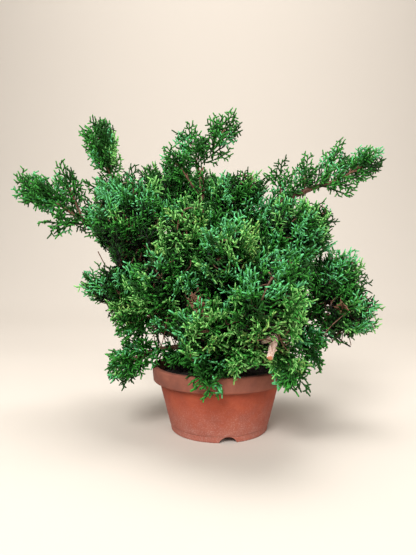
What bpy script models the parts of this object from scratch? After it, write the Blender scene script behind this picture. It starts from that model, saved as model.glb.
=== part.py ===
"""A juniper grown as a bonsai in a round terracotta pan, built as separate solids.

The plant stands in a turned pot filled with soil. A short trunk with a root flare rises from a flat
cut at the soil, leans and bends a little, and carries boughs and masses of foliage on every side.
Each mass is one closed solid that keeps to its own space: a stem, three-sided twigs and flat toothed
sprays of scale leaves, and in the dense masses a smaller core that the sprays stand out of.

Metres, +Z up. The origin is the centre of the pot's flat underside, and the front faces -Y.
"""

import math
import random

import bmesh
import bpy
import numpy as np
from mathutils import Matrix, Vector
from mathutils.bvhtree import BVHTree

OBJECT_NAME = "potted_juniper_bonsai"

# Clearance between solids that touch on the real thing
GAP = 0.0003

# Pot: a pressed clay pan with a deep rim band, a foot band and three arched drain channels
POT_RADIUS = 0.0750
POT_HEIGHT = 0.0706
RIM_HEIGHT = 0.0166
RIM_DRAFT = 0.0012
RIM_LIP_ROUND = 0.0022
RIM_THICKNESS = 0.0062
RIM_EDGE = 0.0008
BODY_TOP_RADIUS = 0.0671
BODY_FOOT_RADIUS = 0.0552
WALL_THICKNESS = 0.0046
FLOOR_THICKNESS = 0.0095
FOOT_BAND_HEIGHT = 0.0072
FOOT_BAND_STEP = 0.0007
FOOT_RADIUS = 0.0538
POT_STEPS = 32
CHANNEL_COUNT = 3
CHANNEL_SIDES = 20
CHANNEL_WIDTH = 0.019
CHANNEL_HEIGHT = 0.0065
CHANNEL_REACH = 0.028
CHANNEL_OVERRUN = 0.010
CHANNEL_TURN = math.radians(-80.4)
DRAIN_RADIUS = 0.0045
DRAIN_SIDES = 12
DRAIN_FROM_AXIS = 0.037
DRAIN_TURN = math.radians(1.7)

# Soil: flat where the trunk stands, and sloping a little to the wall
SOIL_TOP = 0.0660
SOIL_EDGE = 0.0618
SOIL_FLAT_RADIUS = 0.024

# Trunk: heights and offsets of its bent middle line, its girth and its root flare
TRUNK_LINE = [
    (0.006, 0.006, SOIL_TOP + GAP),
    (0.007, 0.012, 0.105),
    (-0.012, 0.020, 0.180),
    (-0.018, 0.020, 0.240),
    (-0.021, 0.020, 0.292),
]
TRUNK_FOOT_RADIUS = 0.0125
TRUNK_TOP_RADIUS = 0.0024
TRUNK_TAPER_POWER = 0.8
FLARE_REACH = 0.008
FLARE_HEIGHT = 0.012
FLARE_LOBES = 5
FLARE_TURN = 0.6
FLARE_BETWEEN_LOBES = 0.1
TRUNK_SIDES = 12
TRUNK_RINGS = 11
RINGS_TO_FOOT_POWER = 1.25
TRUNK_FINE = 200

# A cutter is this much larger all round than the limb that it clears
CLEARANCE = 1.2 * GAP

# Boughs: start height on the trunk, tip, how far the middle sags (+) or arches (-), radius at both ends
BOUGHS = {
    "bough_left": (0.150, (-0.176, 0.014, 0.246), 0.006, 0.0052, 0.0020),
    "bough_upper_left": (0.205, (-0.127, 0.030, 0.281), 0.004, 0.0042, 0.0020),
    "bough_right": (0.186, (0.140, 0.030, 0.282), -0.016, 0.0048, 0.0020),
    "bough_crown_left": (0.126, (-0.076, -0.024, 0.194), 0.006, 0.0048, 0.0030),
    "bough_shoulder": (0.140, (0.046, 0.000, 0.178), 0.004, 0.0048, 0.0030),
    "bough_right_low": (0.088, (0.112, 0.004, 0.124), -0.008, 0.0052, 0.0024),
    "bough_left_mid": (0.106, (-0.084, 0.002, 0.138), 0.004, 0.0046, 0.0026),
    "bough_left_low": (0.084, (-0.070, -0.014, 0.088), -0.004, 0.0040, 0.0022),
    "bough_front": (0.094, (0.040, -0.064, 0.108), -0.006, 0.0048, 0.0030),
}
BOUGH_POINTS = 6
BOUGH_BEVEL = 1
STEM_BEVEL = 0

# Cut stub: a pruned branch that hangs down in front, from the front bough
STUB_LINE = [
    (0.0380, -0.0560, 0.1018),
    (0.0435, -0.0840, 0.1070),
    (0.0505, -0.1010, 0.1108),
    (0.0478, -0.1030, 0.1020),
    (0.0455, -0.1040, 0.0915),
]
STUB_RADIUS = 0.0026
STUB_POINTS = 9

# Masses of foliage: carrier, place along it (0 at its foot, 1 at its tip), bare share of the stem,
# furthest point, half of its girth, how far the stem arches, and whether it is dense
MASSES = {
    "left_tip": ("bough_left", 1.0, 0.00, (-0.236, 0.010, 0.281), 0.022, 0.0, False),
    "left_upper": ("bough_left", 0.90, 0.22, (-0.184, 0.004, 0.300), 0.016, 0.0, False),
    "left_lower": ("bough_left", 0.86, 0.20, (-0.204, -0.012, 0.228), 0.013, 0.0, False),
    "left_inner": ("bough_left", 0.62, 0.30, (-0.157, 0.000, 0.258), 0.017, 0.0, False),
    "upper_left": ("bough_upper_left", 1.0, 0.00, (-0.152, 0.030, 0.358), 0.031, 0.0, False),
    "upper_left_low": ("bough_upper_left", 0.74, 0.25, (-0.172, 0.062, 0.286), 0.014, 0.0, False),
    "leader": ("trunk", 1.0, 0.00, (0.016, 0.020, 0.361), 0.024, 0.0, False),
    "leader_middle": ("trunk", 0.93, 0.12, (-0.038, 0.022, 0.350), 0.018, 0.0, False),
    "leader_left": ("trunk", 0.86, 0.25, (-0.060, 0.008, 0.318), 0.018, 0.0, False),
    "top_small": ("trunk", 0.78, 0.40, (0.010, 0.030, 0.302), 0.017, 0.0, False),
    "right_inner": ("bough_right", 0.56, 0.12, (0.072, 0.024, 0.306), 0.017, 0.0, False),
    "right_middle": ("bough_right", 0.74, 0.12, (0.104, 0.032, 0.314), 0.017, 0.0, False),
    "right_upper": ("bough_right", 0.92, 0.10, (0.144, 0.030, 0.332), 0.016, 0.0, False),
    "right_tip": ("bough_right", 1.0, 0.05, (0.194, 0.030, 0.316), 0.018, 0.0, False),
    "right_under": ("bough_right", 0.88, 0.10, (0.152, 0.020, 0.262), 0.011, 0.0, False),
    "crown_left": ("bough_crown_left", 1.0, 0.00, (-0.119, -0.012, 0.276), 0.043, 0.0, True),
    "left_middle": ("bough_crown_left", 0.70, 0.30, (-0.143, 0.002, 0.199), 0.027, 0.0, True),
    "crown_top_left": ("trunk", 0.66, 0.36, (-0.092, 0.060, 0.304), 0.033, 0.0, True),
    "crown_front": ("trunk", 0.50, 0.28, (-0.042, -0.060, 0.244), 0.037, 0.0, True),
    "crown_right": ("trunk", 0.60, 0.28, (0.040, -0.006, 0.294), 0.035, 0.0, True),
    "right_shoulder": ("bough_shoulder", 1.0, 0.00, (0.102, -0.016, 0.250), 0.043, 0.0, True),
    "right_edge": ("bough_shoulder", 0.80, 0.36, (0.134, 0.016, 0.252), 0.029, 0.0, True),
    "back_top": ("trunk", 0.62, 0.30, (-0.033, 0.100, 0.300), 0.040, 0.0, True),
    "back_left": ("trunk", 0.42, 0.35, (-0.148, 0.110, 0.219), 0.040, 0.0, True),
    "back_right": ("trunk", 0.45, 0.35, (0.130, 0.105, 0.225), 0.040, 0.0, True),
    "back_middle": ("trunk", 0.48, 0.35, (0.010, 0.145, 0.235), 0.038, 0.0, True),
    "back_left_low": ("trunk", 0.19, 0.40, (-0.082, 0.122, 0.134), 0.039, 0.0, True),
    "back_right_low": ("trunk", 0.16, 0.40, (0.088, 0.112, 0.132), 0.039, 0.0, True),
    "front_left": ("trunk", 0.36, 0.34, (-0.078, -0.080, 0.190), 0.040, 0.0, True),
    "front_middle": ("trunk", 0.40, 0.36, (0.016, -0.120, 0.214), 0.037, 0.0, True),
    "front_right": ("trunk", 0.33, 0.36, (0.080, -0.085, 0.186), 0.037, 0.0, True),
    "front_low_right": ("bough_front", 1.0, 0.10, (0.046, -0.138, 0.178), 0.036, 0.0, True),
    "front_low_middle": ("trunk", 0.14, 0.40, (-0.022, -0.122, 0.142), 0.031, 0.0, True),
    "front_heart": ("trunk", 0.26, 0.16, (-0.026, -0.082, 0.166), 0.040, 0.0, True),
    "right_side": ("bough_right_low", 1.0, 0.00, (0.176, -0.010, 0.146), 0.036, 0.0, True),
    "right_rise": ("bough_right_low", 0.80, 0.16, (0.152, 0.012, 0.200), 0.032, 0.0, True),
    "right_hanging": ("bough_right_low", 0.66, 0.12, (0.116, -0.040, 0.074), 0.024, 0.004, False),
    "left_side": ("bough_left_mid", 1.0, 0.00, (-0.155, -0.008, 0.164), 0.035, 0.0, True),
    "left_hanging": ("bough_left_mid", 0.80, 0.20, (-0.108, -0.048, 0.112), 0.023, 0.0, False),
    "left_low": ("bough_left_low", 1.0, 0.00, (-0.121, -0.044, 0.062), 0.023, 0.004, False),
    "rim_front": ("trunk", 0.03, 0.50, (-0.010, -0.098, 0.055), 0.020, 0.022, False),
    "rim_middle": ("bough_front", 0.60, 0.15, (0.022, -0.102, 0.074), 0.023, 0.006, False),
    "rim_right": ("bough_front", 0.84, 0.15, (0.076, -0.094, 0.062), 0.022, 0.012, False),
}

# Growth rule
STEM_POINTS = 5
STEM_RADIUS = 0.0018
STEM_TIP_RADIUS = 0.0008
TWIGS_OPEN = 2
SLIMMEST_WITH_TWIGS = 0.018
TWIG_RADIUS = 0.0012
TWIG_TIP_RADIUS = 0.0006
TWIG_REACH = 0.62
TWIG_FROM = 0.12
TWIG_TO_HEIGHT = -0.15
TWIG_SPACING = 0.5
SPRAY_LENGTH = 0.044
SHORTEST_SPRAY = 0.012
SPRAY_SWEEP = 1.5
SPACE_LIMIT = 1.42
OPEN_FACING = np.array([0.15, -1.0, 0.25])
FACING_TILT = 0.5
TEETH_OPEN = 5
TEETH_DENSE = 3
SPRAY_REACH = (0.96, 1.12)
SPREAD_OPEN = math.radians(72)
SPREAD_DENSE = math.radians(62)
SPRAY_THICKNESS = 0.09
SPRAY_MIDDLE = 0.36
SPRAY_NECK = 0.16
SIDE_TEETH_SHORTER = 0.42
NOTCH_DEPTH = 0.50
FOOTSTALK_WIDTH = 0.0012
FEWEST_OPEN = 4
FEWEST_DENSE = 8
AREA_PER_SPRAY_OPEN = 0.00034
AREA_PER_SPRAY_DENSE = 0.00036
LOWEST_TARGET = -0.72
TARGET_OFFSET = 0.35
HIGHEST_ROOT = 0.66
LOWEST_ROOT_ON_STEM = 0.04
LOWEST_ROOT_ON_TWIG = 0.30
LONGEST_BLADE_SHARE = 0.9
SPRAY_TRIES = [(shrink, math.radians(roll)) for shrink in (1.0, 0.86, 0.72, 0.58)
               for roll in (0, 45, -45, 90)]
ROOT_SHARE = 0.42
ROOT_FREE = 0.004
BLADE_MARGIN = 0.0006
BLADE_APART = 0.0024
CORE_SHARE = 0.74
CORE_STEP = 0.02
CORE_MARGIN = 0.0012
CORE_NEAR = math.radians(31)
CORE_RAYS = 240
CORE_ROOT = 0.66
CORE_SWEEP = 0.55
CORE_BUMP = 0.26
CORE_SIDES = 6
CORE_LEVELS = 5
GOLDEN_ANGLE = math.pi * (3.0 - math.sqrt(5.0))

# Distance from the pot that foliage keeps
POT_MARGIN = 0.0010

# Points nearer than this are one
MERGE_DISTANCE = 0.0000005

# Colours as linear values of a Principled material, with its roughness
FINISHES = {
    "terracotta": ((0.36, 0.082, 0.040), 0.85),
    "soil": ((0.012, 0.009, 0.007), 0.95),
    "bark": ((0.105, 0.050, 0.030), 0.90),
    "stub_bark": ((0.42, 0.26, 0.20), 0.90),
    "foliage": ((0.020, 0.110, 0.032), 0.60),
}


def clear_scene():
    """Remove every object, so that the model starts from nothing."""
    for old in list(bpy.data.objects):
        bpy.data.objects.remove(old, do_unlink=True)


def make_collection(name):
    """Return a new collection in the scene."""
    collection = bpy.data.collections.new(name)
    bpy.context.scene.collection.children.link(collection)
    return collection


def make_material(name, shade=1.0):
    """Return a Principled material with a finish's colour, a little lighter or darker by shade."""
    colour, roughness = FINISHES[name]
    material = bpy.data.materials.new(name)
    material.use_nodes = True
    shader = material.node_tree.nodes["Principled BSDF"]
    shader.inputs["Base Color"].default_value = [c * shade for c in colour] + [1.0]
    shader.inputs["Roughness"].default_value = roughness
    shader.inputs["Metallic"].default_value = 0.0
    return material


def mesh_object(name, bm, collection):
    """Turn a bmesh into an object in a collection, its faces as flat triangles."""
    bmesh.ops.triangulate(bm, faces=bm.faces)
    mesh = bpy.data.meshes.new(name)
    bm.to_mesh(mesh)
    bm.free()
    obj = bpy.data.objects.new(name, mesh)
    collection.objects.link(obj)
    return obj


def hide_as_cutter(obj):
    """Show a helper as wire only, and keep it out of renders."""
    obj.hide_render = True
    obj.display_type = "WIRE"


def cut_with(obj, cutter):
    """Add a Boolean difference to an object."""
    cut = obj.modifiers.new("cut", "BOOLEAN")
    cut.operation = "DIFFERENCE"
    cut.solver = "EXACT"
    cut.object = cutter


def screw(obj, steps):
    """Turn a profile once round the Z axis."""
    turn = obj.modifiers.new("turn", "SCREW")
    turn.axis = "Z"
    turn.steps = steps
    turn.render_steps = steps
    turn.use_merge_vertices = True
    turn.merge_threshold = 0.00001
    turn.use_smooth_shade = False


def profile_object(name, points, collection):
    """Make an open profile of (radius, height) points in the XZ plane."""
    bm = bmesh.new()
    vertices = [bm.verts.new((radius, 0.0, height)) for radius, height in points]
    for low, high in zip(vertices, vertices[1:]):
        bm.edges.new((low, high))
    return mesh_object(name, bm, collection)


def wall_radius(height):
    """Outer radius of the pot's tapering body at a height."""
    body_top = POT_HEIGHT - RIM_HEIGHT
    share = (height - FOOT_BAND_HEIGHT) / (body_top - FOOT_BAND_HEIGHT)
    return BODY_FOOT_RADIUS + share * (BODY_TOP_RADIUS - BODY_FOOT_RADIUS)


def inner_radius(height):
    """Inner radius of the pot at a height."""
    body_top = POT_HEIGHT - RIM_HEIGHT
    rim_inside = POT_RADIUS - RIM_THICKNESS
    if height >= body_top:
        share = (height - body_top) / RIM_HEIGHT
        below = wall_radius(body_top) - WALL_THICKNESS
        return below + share * (rim_inside - below)
    return wall_radius(height) - WALL_THICKNESS


def build_pot(parts, cutters):
    """Turned pan: floor, inner wall, rim band with a rounded lip, body, foot band, flat underside."""
    body_top = POT_HEIGHT - RIM_HEIGHT
    lip = POT_RADIUS - RIM_DRAFT
    foot_top = BODY_FOOT_RADIUS - FOOT_BAND_STEP
    profile = [
        (0.0, FLOOR_THICKNESS),
        (inner_radius(FLOOR_THICKNESS), FLOOR_THICKNESS),
        (inner_radius(body_top), body_top),
        (inner_radius(POT_HEIGHT), POT_HEIGHT),
        (POT_RADIUS - RIM_EDGE, POT_HEIGHT),
        (POT_RADIUS, POT_HEIGHT - RIM_EDGE),
        (lip, body_top + RIM_LIP_ROUND),
        (lip - 0.3 * RIM_LIP_ROUND, body_top + 0.3 * RIM_LIP_ROUND),
        (lip - RIM_LIP_ROUND, body_top),
        (BODY_TOP_RADIUS, body_top),
        (BODY_FOOT_RADIUS, FOOT_BAND_HEIGHT),
        (foot_top, FOOT_BAND_HEIGHT - FOOT_BAND_STEP),
        (FOOT_RADIUS, 0.0),
        (0.0, 0.0),
    ]
    pot = profile_object("pot", profile, parts)
    screw(pot, POT_STEPS)
    arch_radius = (CHANNEL_WIDTH ** 2 / 4 + CHANNEL_HEIGHT ** 2) / (2 * CHANNEL_HEIGHT)
    length = BODY_FOOT_RADIUS + CHANNEL_OVERRUN - CHANNEL_REACH
    for index in range(CHANNEL_COUNT):
        turn = CHANNEL_TURN + index * 2 * math.pi / CHANNEL_COUNT
        bm = bmesh.new()
        bmesh.ops.create_cone(bm, cap_ends=True, segments=CHANNEL_SIDES, radius1=arch_radius,
                              radius2=arch_radius, depth=length)
        lay_down = Matrix.Rotation(math.pi / 2, 4, "Y")
        bmesh.ops.transform(bm, matrix=lay_down, verts=bm.verts)
        away = Matrix.Translation((CHANNEL_REACH + length / 2, 0, CHANNEL_HEIGHT - arch_radius))
        bmesh.ops.transform(bm, matrix=Matrix.Rotation(turn, 4, "Z") @ away, verts=bm.verts)
        channel = mesh_object(f"channel_cutter_{index + 1}", bm, cutters)
        bm = bmesh.new()
        bmesh.ops.create_cone(bm, cap_ends=True, segments=DRAIN_SIDES, radius1=DRAIN_RADIUS,
                              radius2=DRAIN_RADIUS, depth=4 * FLOOR_THICKNESS)
        away = Matrix.Translation((DRAIN_FROM_AXIS, 0, 0))
        bmesh.ops.transform(bm, matrix=Matrix.Rotation(turn + DRAIN_TURN, 4, "Z") @ away, verts=bm.verts)
        drain = mesh_object(f"drain_cutter_{index + 1}", bm, cutters)
        for cutter in (channel, drain):
            hide_as_cutter(cutter)
            cut_with(pot, cutter)
    pot.data.materials.append(make_material("terracotta"))


def build_soil(parts):
    """Soil that fills the pan, a gap clear of its wall and floor."""
    body_top = POT_HEIGHT - RIM_HEIGHT
    low = FLOOR_THICKNESS + GAP
    profile = [
        (0.0, SOIL_TOP),
        (SOIL_FLAT_RADIUS, SOIL_TOP),
        (inner_radius(SOIL_EDGE) - GAP, SOIL_EDGE),
        (inner_radius(body_top) - GAP, body_top),
        (inner_radius(low) - GAP, low),
        (0.0, low),
    ]
    soil = profile_object("soil", profile, parts)
    screw(soil, POT_STEPS)
    soil.data.materials.append(make_material("soil"))


def smooth_line(points, count):
    """Points spread along a smooth curve through the given ones (Catmull-Rom)."""
    knots = np.array(points, float)
    padded = np.vstack([2 * knots[0] - knots[1], knots, 2 * knots[-1] - knots[-2]])
    place = np.linspace(0, len(knots) - 1, count)
    index = np.minimum(place.astype(int), len(knots) - 2)
    t = (place - index)[:, None]
    a, b, c, d = (padded[index + k] for k in range(4))
    return 0.5 * (2 * b + (c - a) * t + (2 * a - 5 * b + 4 * c - d) * t ** 2
                  + (3 * b - a - 3 * c + d) * t ** 3)


def arched_line(start, end, arch, count):
    """Points on a quadratic curve from start to end whose middle is lifted by arch."""
    start, end = np.array(start, float), np.array(end, float)
    control = (start + end) / 2 + np.array([0, 0, 2 * arch])
    t = np.linspace(0, 1, count)[:, None]
    return (1 - t) ** 2 * start + 2 * t * (1 - t) * control + t ** 2 * end


def along(line, share):
    """Point at a share of a line's number of steps."""
    place = share * (len(line) - 1)
    index = min(int(place), len(line) - 2)
    return line[index] + (place - index) * (line[index + 1] - line[index])


def trunk_line():
    """The trunk's middle line as rings, closer together at the flare."""
    fine = smooth_line(TRUNK_LINE, TRUNK_FINE)
    share = np.linspace(0, 1, TRUNK_RINGS) ** RINGS_TO_FOOT_POWER
    return fine[(share * (TRUNK_FINE - 1)).astype(int)]


def trunk_radii(line):
    """The trunk's radius along its line, without the root flare."""
    share = (line[:, 2] - line[0, 2]) / (line[-1, 2] - line[0, 2])
    return TRUNK_FOOT_RADIUS + (TRUNK_TOP_RADIUS - TRUNK_FOOT_RADIUS) * share ** TRUNK_TAPER_POWER


def flare(middle, foot, angle):
    """How far the root lobes reach out of the trunk, fading above the soil."""
    size = FLARE_REACH * math.exp((foot - middle) / FLARE_HEIGHT)
    wave = (1 + math.cos(FLARE_LOBES * angle + FLARE_TURN)) / 2
    return size * (FLARE_BETWEEN_LOBES + (1 - FLARE_BETWEEN_LOBES) * wave)


def trunk_loft(name, line, extra, collection):
    """Level rings lofted up the trunk, from a flat cut at the soil to its top, extra larger all round."""
    bm = bmesh.new()
    rings = []
    for middle, radius in zip(line, trunk_radii(line)):
        ring = []
        for side in range(TRUNK_SIDES):
            angle = 2 * math.pi * side / TRUNK_SIDES
            reach = radius + flare(middle[2], line[0, 2], angle) + extra
            ring.append(bm.verts.new((middle[0] + reach * math.cos(angle),
                                      middle[1] + reach * math.sin(angle), middle[2])))
        rings.append(ring)
    for ring, rise in ((rings[0], -extra), (rings[-1], extra)):
        for vertex in ring:
            vertex.co.z += rise
    for lower, upper in zip(rings, rings[1:]):
        for side in range(TRUNK_SIDES):
            after = (side + 1) % TRUNK_SIDES
            bm.faces.new((lower[side], lower[after], upper[after], upper[side]))
    bm.faces.new(rings[0][::-1])
    bm.faces.new(rings[-1])
    return mesh_object(name, bm, collection)


def build_trunk(parts, cutters, line):
    """The trunk, and its clearance body for cutting, which is returned."""
    trunk = trunk_loft("trunk", line, 0.0, parts)
    trunk.data.materials.append(make_material("bark"))
    clearance = trunk_loft("trunk_clearance", line, CLEARANCE, cutters)
    hide_as_cutter(clearance)
    return clearance


def tube_mesh(name, line, radii, collection, bevel=BOUGH_BEVEL):
    """A tapering tube: a poly curve with a bevel and filled caps, turned into a closed mesh."""
    curve = bpy.data.curves.new(name, "CURVE")
    curve.dimensions = "3D"
    curve.bevel_depth = 1.0
    curve.bevel_resolution = bevel
    curve.use_fill_caps = True
    spline = curve.splines.new("POLY")
    spline.points.add(len(line) - 1)
    for point, place, radius in zip(spline.points, line, radii):
        point.co = (*place, 1.0)
        point.radius = radius
    shape = bpy.data.objects.new(name + "_curve", curve)
    collection.objects.link(shape)
    bpy.context.view_layer.update()
    evaluated = shape.evaluated_get(bpy.context.evaluated_depsgraph_get())
    mesh = bpy.data.meshes.new_from_object(evaluated)
    bm = bmesh.new()
    bm.from_mesh(mesh)
    bmesh.ops.remove_doubles(bm, verts=bm.verts, dist=MERGE_DISTANCE)
    bmesh.ops.triangulate(bm, faces=bm.faces)
    bmesh.ops.recalc_face_normals(bm, faces=bm.faces)
    bm.to_mesh(mesh)
    bm.free()
    tube = bpy.data.objects.new(name, mesh)
    tube.matrix_world = shape.matrix_world
    collection.objects.link(tube)
    bpy.data.objects.remove(shape)
    bpy.data.curves.remove(curve)
    return tube


def apply_modifiers(obj):
    """Put the evaluated shape into the object's own mesh, and drop its modifiers."""
    bpy.context.view_layer.update()
    evaluated = obj.evaluated_get(bpy.context.evaluated_depsgraph_get())
    mesh = bpy.data.meshes.new_from_object(evaluated)
    obj.modifiers.clear()
    obj.data = mesh


def islands_of(bm):
    """Lists of faces that hang together."""
    left = set(bm.faces)
    islands = []
    while left:
        queue = [left.pop()]
        island = list(queue)
        while queue:
            face = queue.pop()
            for edge in face.edges:
                for near in edge.link_faces:
                    if near in left:
                        left.remove(near)
                        island.append(near)
                        queue.append(near)
        islands.append(island)
    return islands


def signed_volume(faces):
    """Volume inside a set of triangles, negative for a sealed hollow."""
    total = 0.0
    for face in faces:
        a, b, c = (loop.vert.co for loop in face.loops)
        total += a.dot(b.cross(c)) / 6.0
    return total


def keep_largest(obj):
    """Triangulate, then keep the largest closed island: loose scraps and sealed hollows go."""
    bm = bmesh.new()
    bm.from_mesh(obj.data)
    bmesh.ops.remove_doubles(bm, verts=bm.verts, dist=MERGE_DISTANCE)
    bmesh.ops.triangulate(bm, faces=bm.faces)
    islands = sorted(islands_of(bm), key=signed_volume)
    for island in islands[:-1]:
        bmesh.ops.delete(bm, geom=island, context="FACES")
    bm.to_mesh(obj.data)
    bm.free()


def fuse(body, others):
    """Join a body and the objects of a collection by one Boolean union, and remove the collection."""
    join = body.modifiers.new("join", "BOOLEAN")
    join.operation = "UNION"
    join.solver = "EXACT"
    join.operand_type = "COLLECTION"
    join.collection = others
    apply_modifiers(body)
    for used in list(others.objects):
        bpy.data.objects.remove(used, do_unlink=True)
    bpy.data.collections.remove(others)


def surface_of(obj):
    """Search tree of an object's triangles, in world space."""
    corners = [obj.matrix_world @ vertex.co for vertex in obj.data.vertices]
    return BVHTree.FromPolygons(corners, [tuple(face.vertices) for face in obj.data.polygons])


def clear_of(body, clearances):
    """Cut a body clear of the limbs whose clearance it crosses."""
    for clearance in clearances:
        if surface_of(body).overlap(surface_of(clearance)):
            cut_with(body, clearance)
            apply_modifiers(body)
    keep_largest(body)


def distance_to_line(points, line, radii):
    """Distance from points to a tapering line's surface."""
    best = np.full(len(points), np.inf)
    for a, b, ra, rb in zip(line, line[1:], radii, radii[1:]):
        step = b - a
        t = np.clip((points - a) @ step / (step @ step), 0, 1)
        nearest = a + t[:, None] * step
        gap = np.linalg.norm(points - nearest, axis=1) - (ra + t * (rb - ra))
        best = np.minimum(best, gap)
    return best


class Mass:
    """A mass of foliage: its stem, and the egg-shaped space that it may fill."""

    def __init__(self, name, plan, limbs):
        """Work the stem and the space out from the mass's few named sizes."""
        self.name = name
        self.carrier, place, bare, tip, self.girth, arch, self.dense = plan
        line, _ = limbs[self.carrier]
        start = along(line, place)
        self.stem = arched_line(start, tip, arch, STEM_POINTS)
        self.stem_radii = np.linspace(STEM_RADIUS, STEM_TIP_RADIUS, STEM_POINTS)
        foot = along(self.stem, bare)
        tip = np.array(tip)
        self.axis = (tip - foot) / np.linalg.norm(tip - foot)
        self.centre = (foot + tip) / 2
        self.half = np.linalg.norm(tip - foot) / 2
        side = np.cross(self.axis, (0, 1, 0))
        side = side / np.linalg.norm(side)
        self.frame = np.column_stack([self.axis, side, np.cross(self.axis, side)])
        self.sizes = np.array([self.half, self.girth, self.girth])
        self.bare = bare
        self.random = random.Random(name)

    def level(self, points):
        """0 at the centre of the space, 1 at its edge, and the slope of that measure."""
        inside = (points - self.centre) @ self.frame / self.sizes
        value = np.linalg.norm(inside, axis=1) + 1e-9
        slope = np.linalg.norm(inside / self.sizes, axis=1) / value
        return value, slope


def has_room(points, reach, mass, masses, limbs):
    """True where points with some thickness stay in the mass's space and clear of all else."""
    own, own_slope = mass.level(points)
    clear = own <= SPACE_LIMIT
    for other in masses.values():
        if other is mass:
            continue
        level, slope = other.level(points)
        clear &= (level - own) / (slope + own_slope) > reach + GAP
        clear &= distance_to_line(points, other.stem, other.stem_radii) > reach + GAP
    for line, radii in limbs.values():
        clear &= distance_to_line(points, line, radii) > reach + 2 * GAP
    from_axis = np.hypot(points[:, 0], points[:, 1])
    margin = reach + POT_MARGIN
    in_pot = (points[:, 2] < POT_HEIGHT + margin) & (from_axis < POT_RADIUS + margin)
    return clear & ~in_pot


def spray_outline(length, stalk, dense):
    """Outline of a toothed spray on its footstalk, root first: the teeth sweep forwards."""
    half = (TEETH_DENSE if dense else TEETH_OPEN) // 2
    spread = SPREAD_DENSE if dense else SPREAD_OPEN
    centre = stalk + SPRAY_MIDDLE * length
    neck = stalk + SPRAY_NECK * length
    outline = [(0.0, 0.0)]
    if stalk > 0:
        outline.append((neck, -FOOTSTALK_WIDTH))
    for step in range(4 * half + 1):
        share = step / (2 * half) - 1
        radius = (1 - SPRAY_MIDDLE) * length * (1 - SIDE_TEETH_SHORTER * abs(share))
        if step % 2:
            radius *= NOTCH_DEPTH
        outline.append((centre + radius * math.cos(share * spread), radius * math.sin(share * spread)))
    if stalk > 0:
        outline.append((neck, FOOTSTALK_WIDTH))
    return centre, outline


def spray_points(root, frame, size, dense):
    """Points spread over a spray, for testing its room."""
    centre, outline = spray_outline(*size, dense)
    flat = np.array(outline)
    after = np.roll(flat, -1, axis=0)
    middle = np.array([centre, 0.0])
    samples = []
    for third in range(3):
        edge = flat + third / 3 * (after - flat)
        for quarter in range(1, 5):
            samples.append(middle + quarter / 4 * (edge - middle))
    return root + np.vstack(samples) @ frame[:, :2].T


def build_spray(name, root, frame, size, dense, collection):
    """A toothed blade, thickest at its middle: a sphere of two caps whose equator takes the outline."""
    length, stalk = size
    centre, outline = spray_outline(length, stalk, dense)
    bm = bmesh.new()
    bmesh.ops.create_uvsphere(bm, u_segments=len(outline), v_segments=2, radius=1.0)
    equator = [v for v in bm.verts if abs(v.co.z) < 0.5]
    equator.sort(key=lambda v: math.atan2(v.co.y, v.co.x) % (2 * math.pi))
    start = len(outline) // 2
    for index, vertex in enumerate(equator):
        x, y = outline[(index + start) % len(outline)]
        vertex.co = (x, y, 0.0)
    for vertex in bm.verts:
        if vertex not in equator:
            vertex.co = (centre, 0.0, math.copysign(SPRAY_THICKNESS * length / 2, vertex.co.z))
    place = Matrix.Translation(Vector(root)) @ Matrix(frame.tolist()).to_4x4()
    bmesh.ops.transform(bm, matrix=place, verts=bm.verts)
    return mesh_object(name, bm, collection)


def build_twig(name, start, end, collection):
    """A three-sided twig that tapers from the stem to the middle of its spray."""
    start, end = Vector(start), Vector(end)
    along_twig = end - start
    bm = bmesh.new()
    bmesh.ops.create_cone(bm, cap_ends=True, segments=3, radius1=TWIG_RADIUS,
                          radius2=TWIG_TIP_RADIUS, depth=along_twig.length)
    turn = along_twig.to_track_quat("Z", "Y").to_matrix().to_4x4()
    place = Matrix.Translation((start + end) / 2) @ turn
    bmesh.ops.transform(bm, matrix=place, verts=bm.verts)
    return mesh_object(name, bm, collection)


def spray_frame(direction, facing, roll):
    """Axes of a spray: along it, across it, and out of its flat side, rolled about its length."""
    x = direction / np.linalg.norm(direction)
    z = facing - (facing @ x) * x
    z = z / np.linalg.norm(z)
    z = math.cos(roll) * z + math.sin(roll) * np.cross(x, z)
    return np.column_stack([x, np.cross(z, x), z])


def points_meet(points, others):
    """True where two sprays, given as points spread over them, come too near each other."""
    apart = points[:, None, :] - others[None, :, :]
    return (np.linalg.norm(apart, axis=2) < BLADE_APART).any()


def even_directions(count):
    """Directions spread evenly over a sphere by the golden angle."""
    height = 1 - (2 * np.arange(count) + 1) / count
    ring = np.sqrt(1 - height ** 2)
    angle = np.arange(count) * GOLDEN_ANGLE
    return np.column_stack([height, ring * np.cos(angle), ring * np.sin(angle)])


def core_shares(mass, directions, masses, limbs):
    """Share of the space that a core may fill each way, kept down where something is near."""
    steps = np.linspace(CORE_STEP, CORE_SHARE, round(CORE_SHARE / CORE_STEP))
    rays = even_directions(CORE_RAYS)
    free_to = np.zeros(CORE_RAYS)
    for index, direction in enumerate(rays):
        way = mass.centre + steps[:, None] * (mass.frame @ (direction * mass.sizes))
        free = has_room(way, CORE_MARGIN, mass, masses, limbs)
        stop = len(steps) if free.all() else int(np.argmin(free))
        free_to[index] = steps[max(stop - 1, 0)]
    near = directions @ rays.T > math.cos(CORE_NEAR)
    return np.array([free_to[row].min() for row in near])


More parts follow.
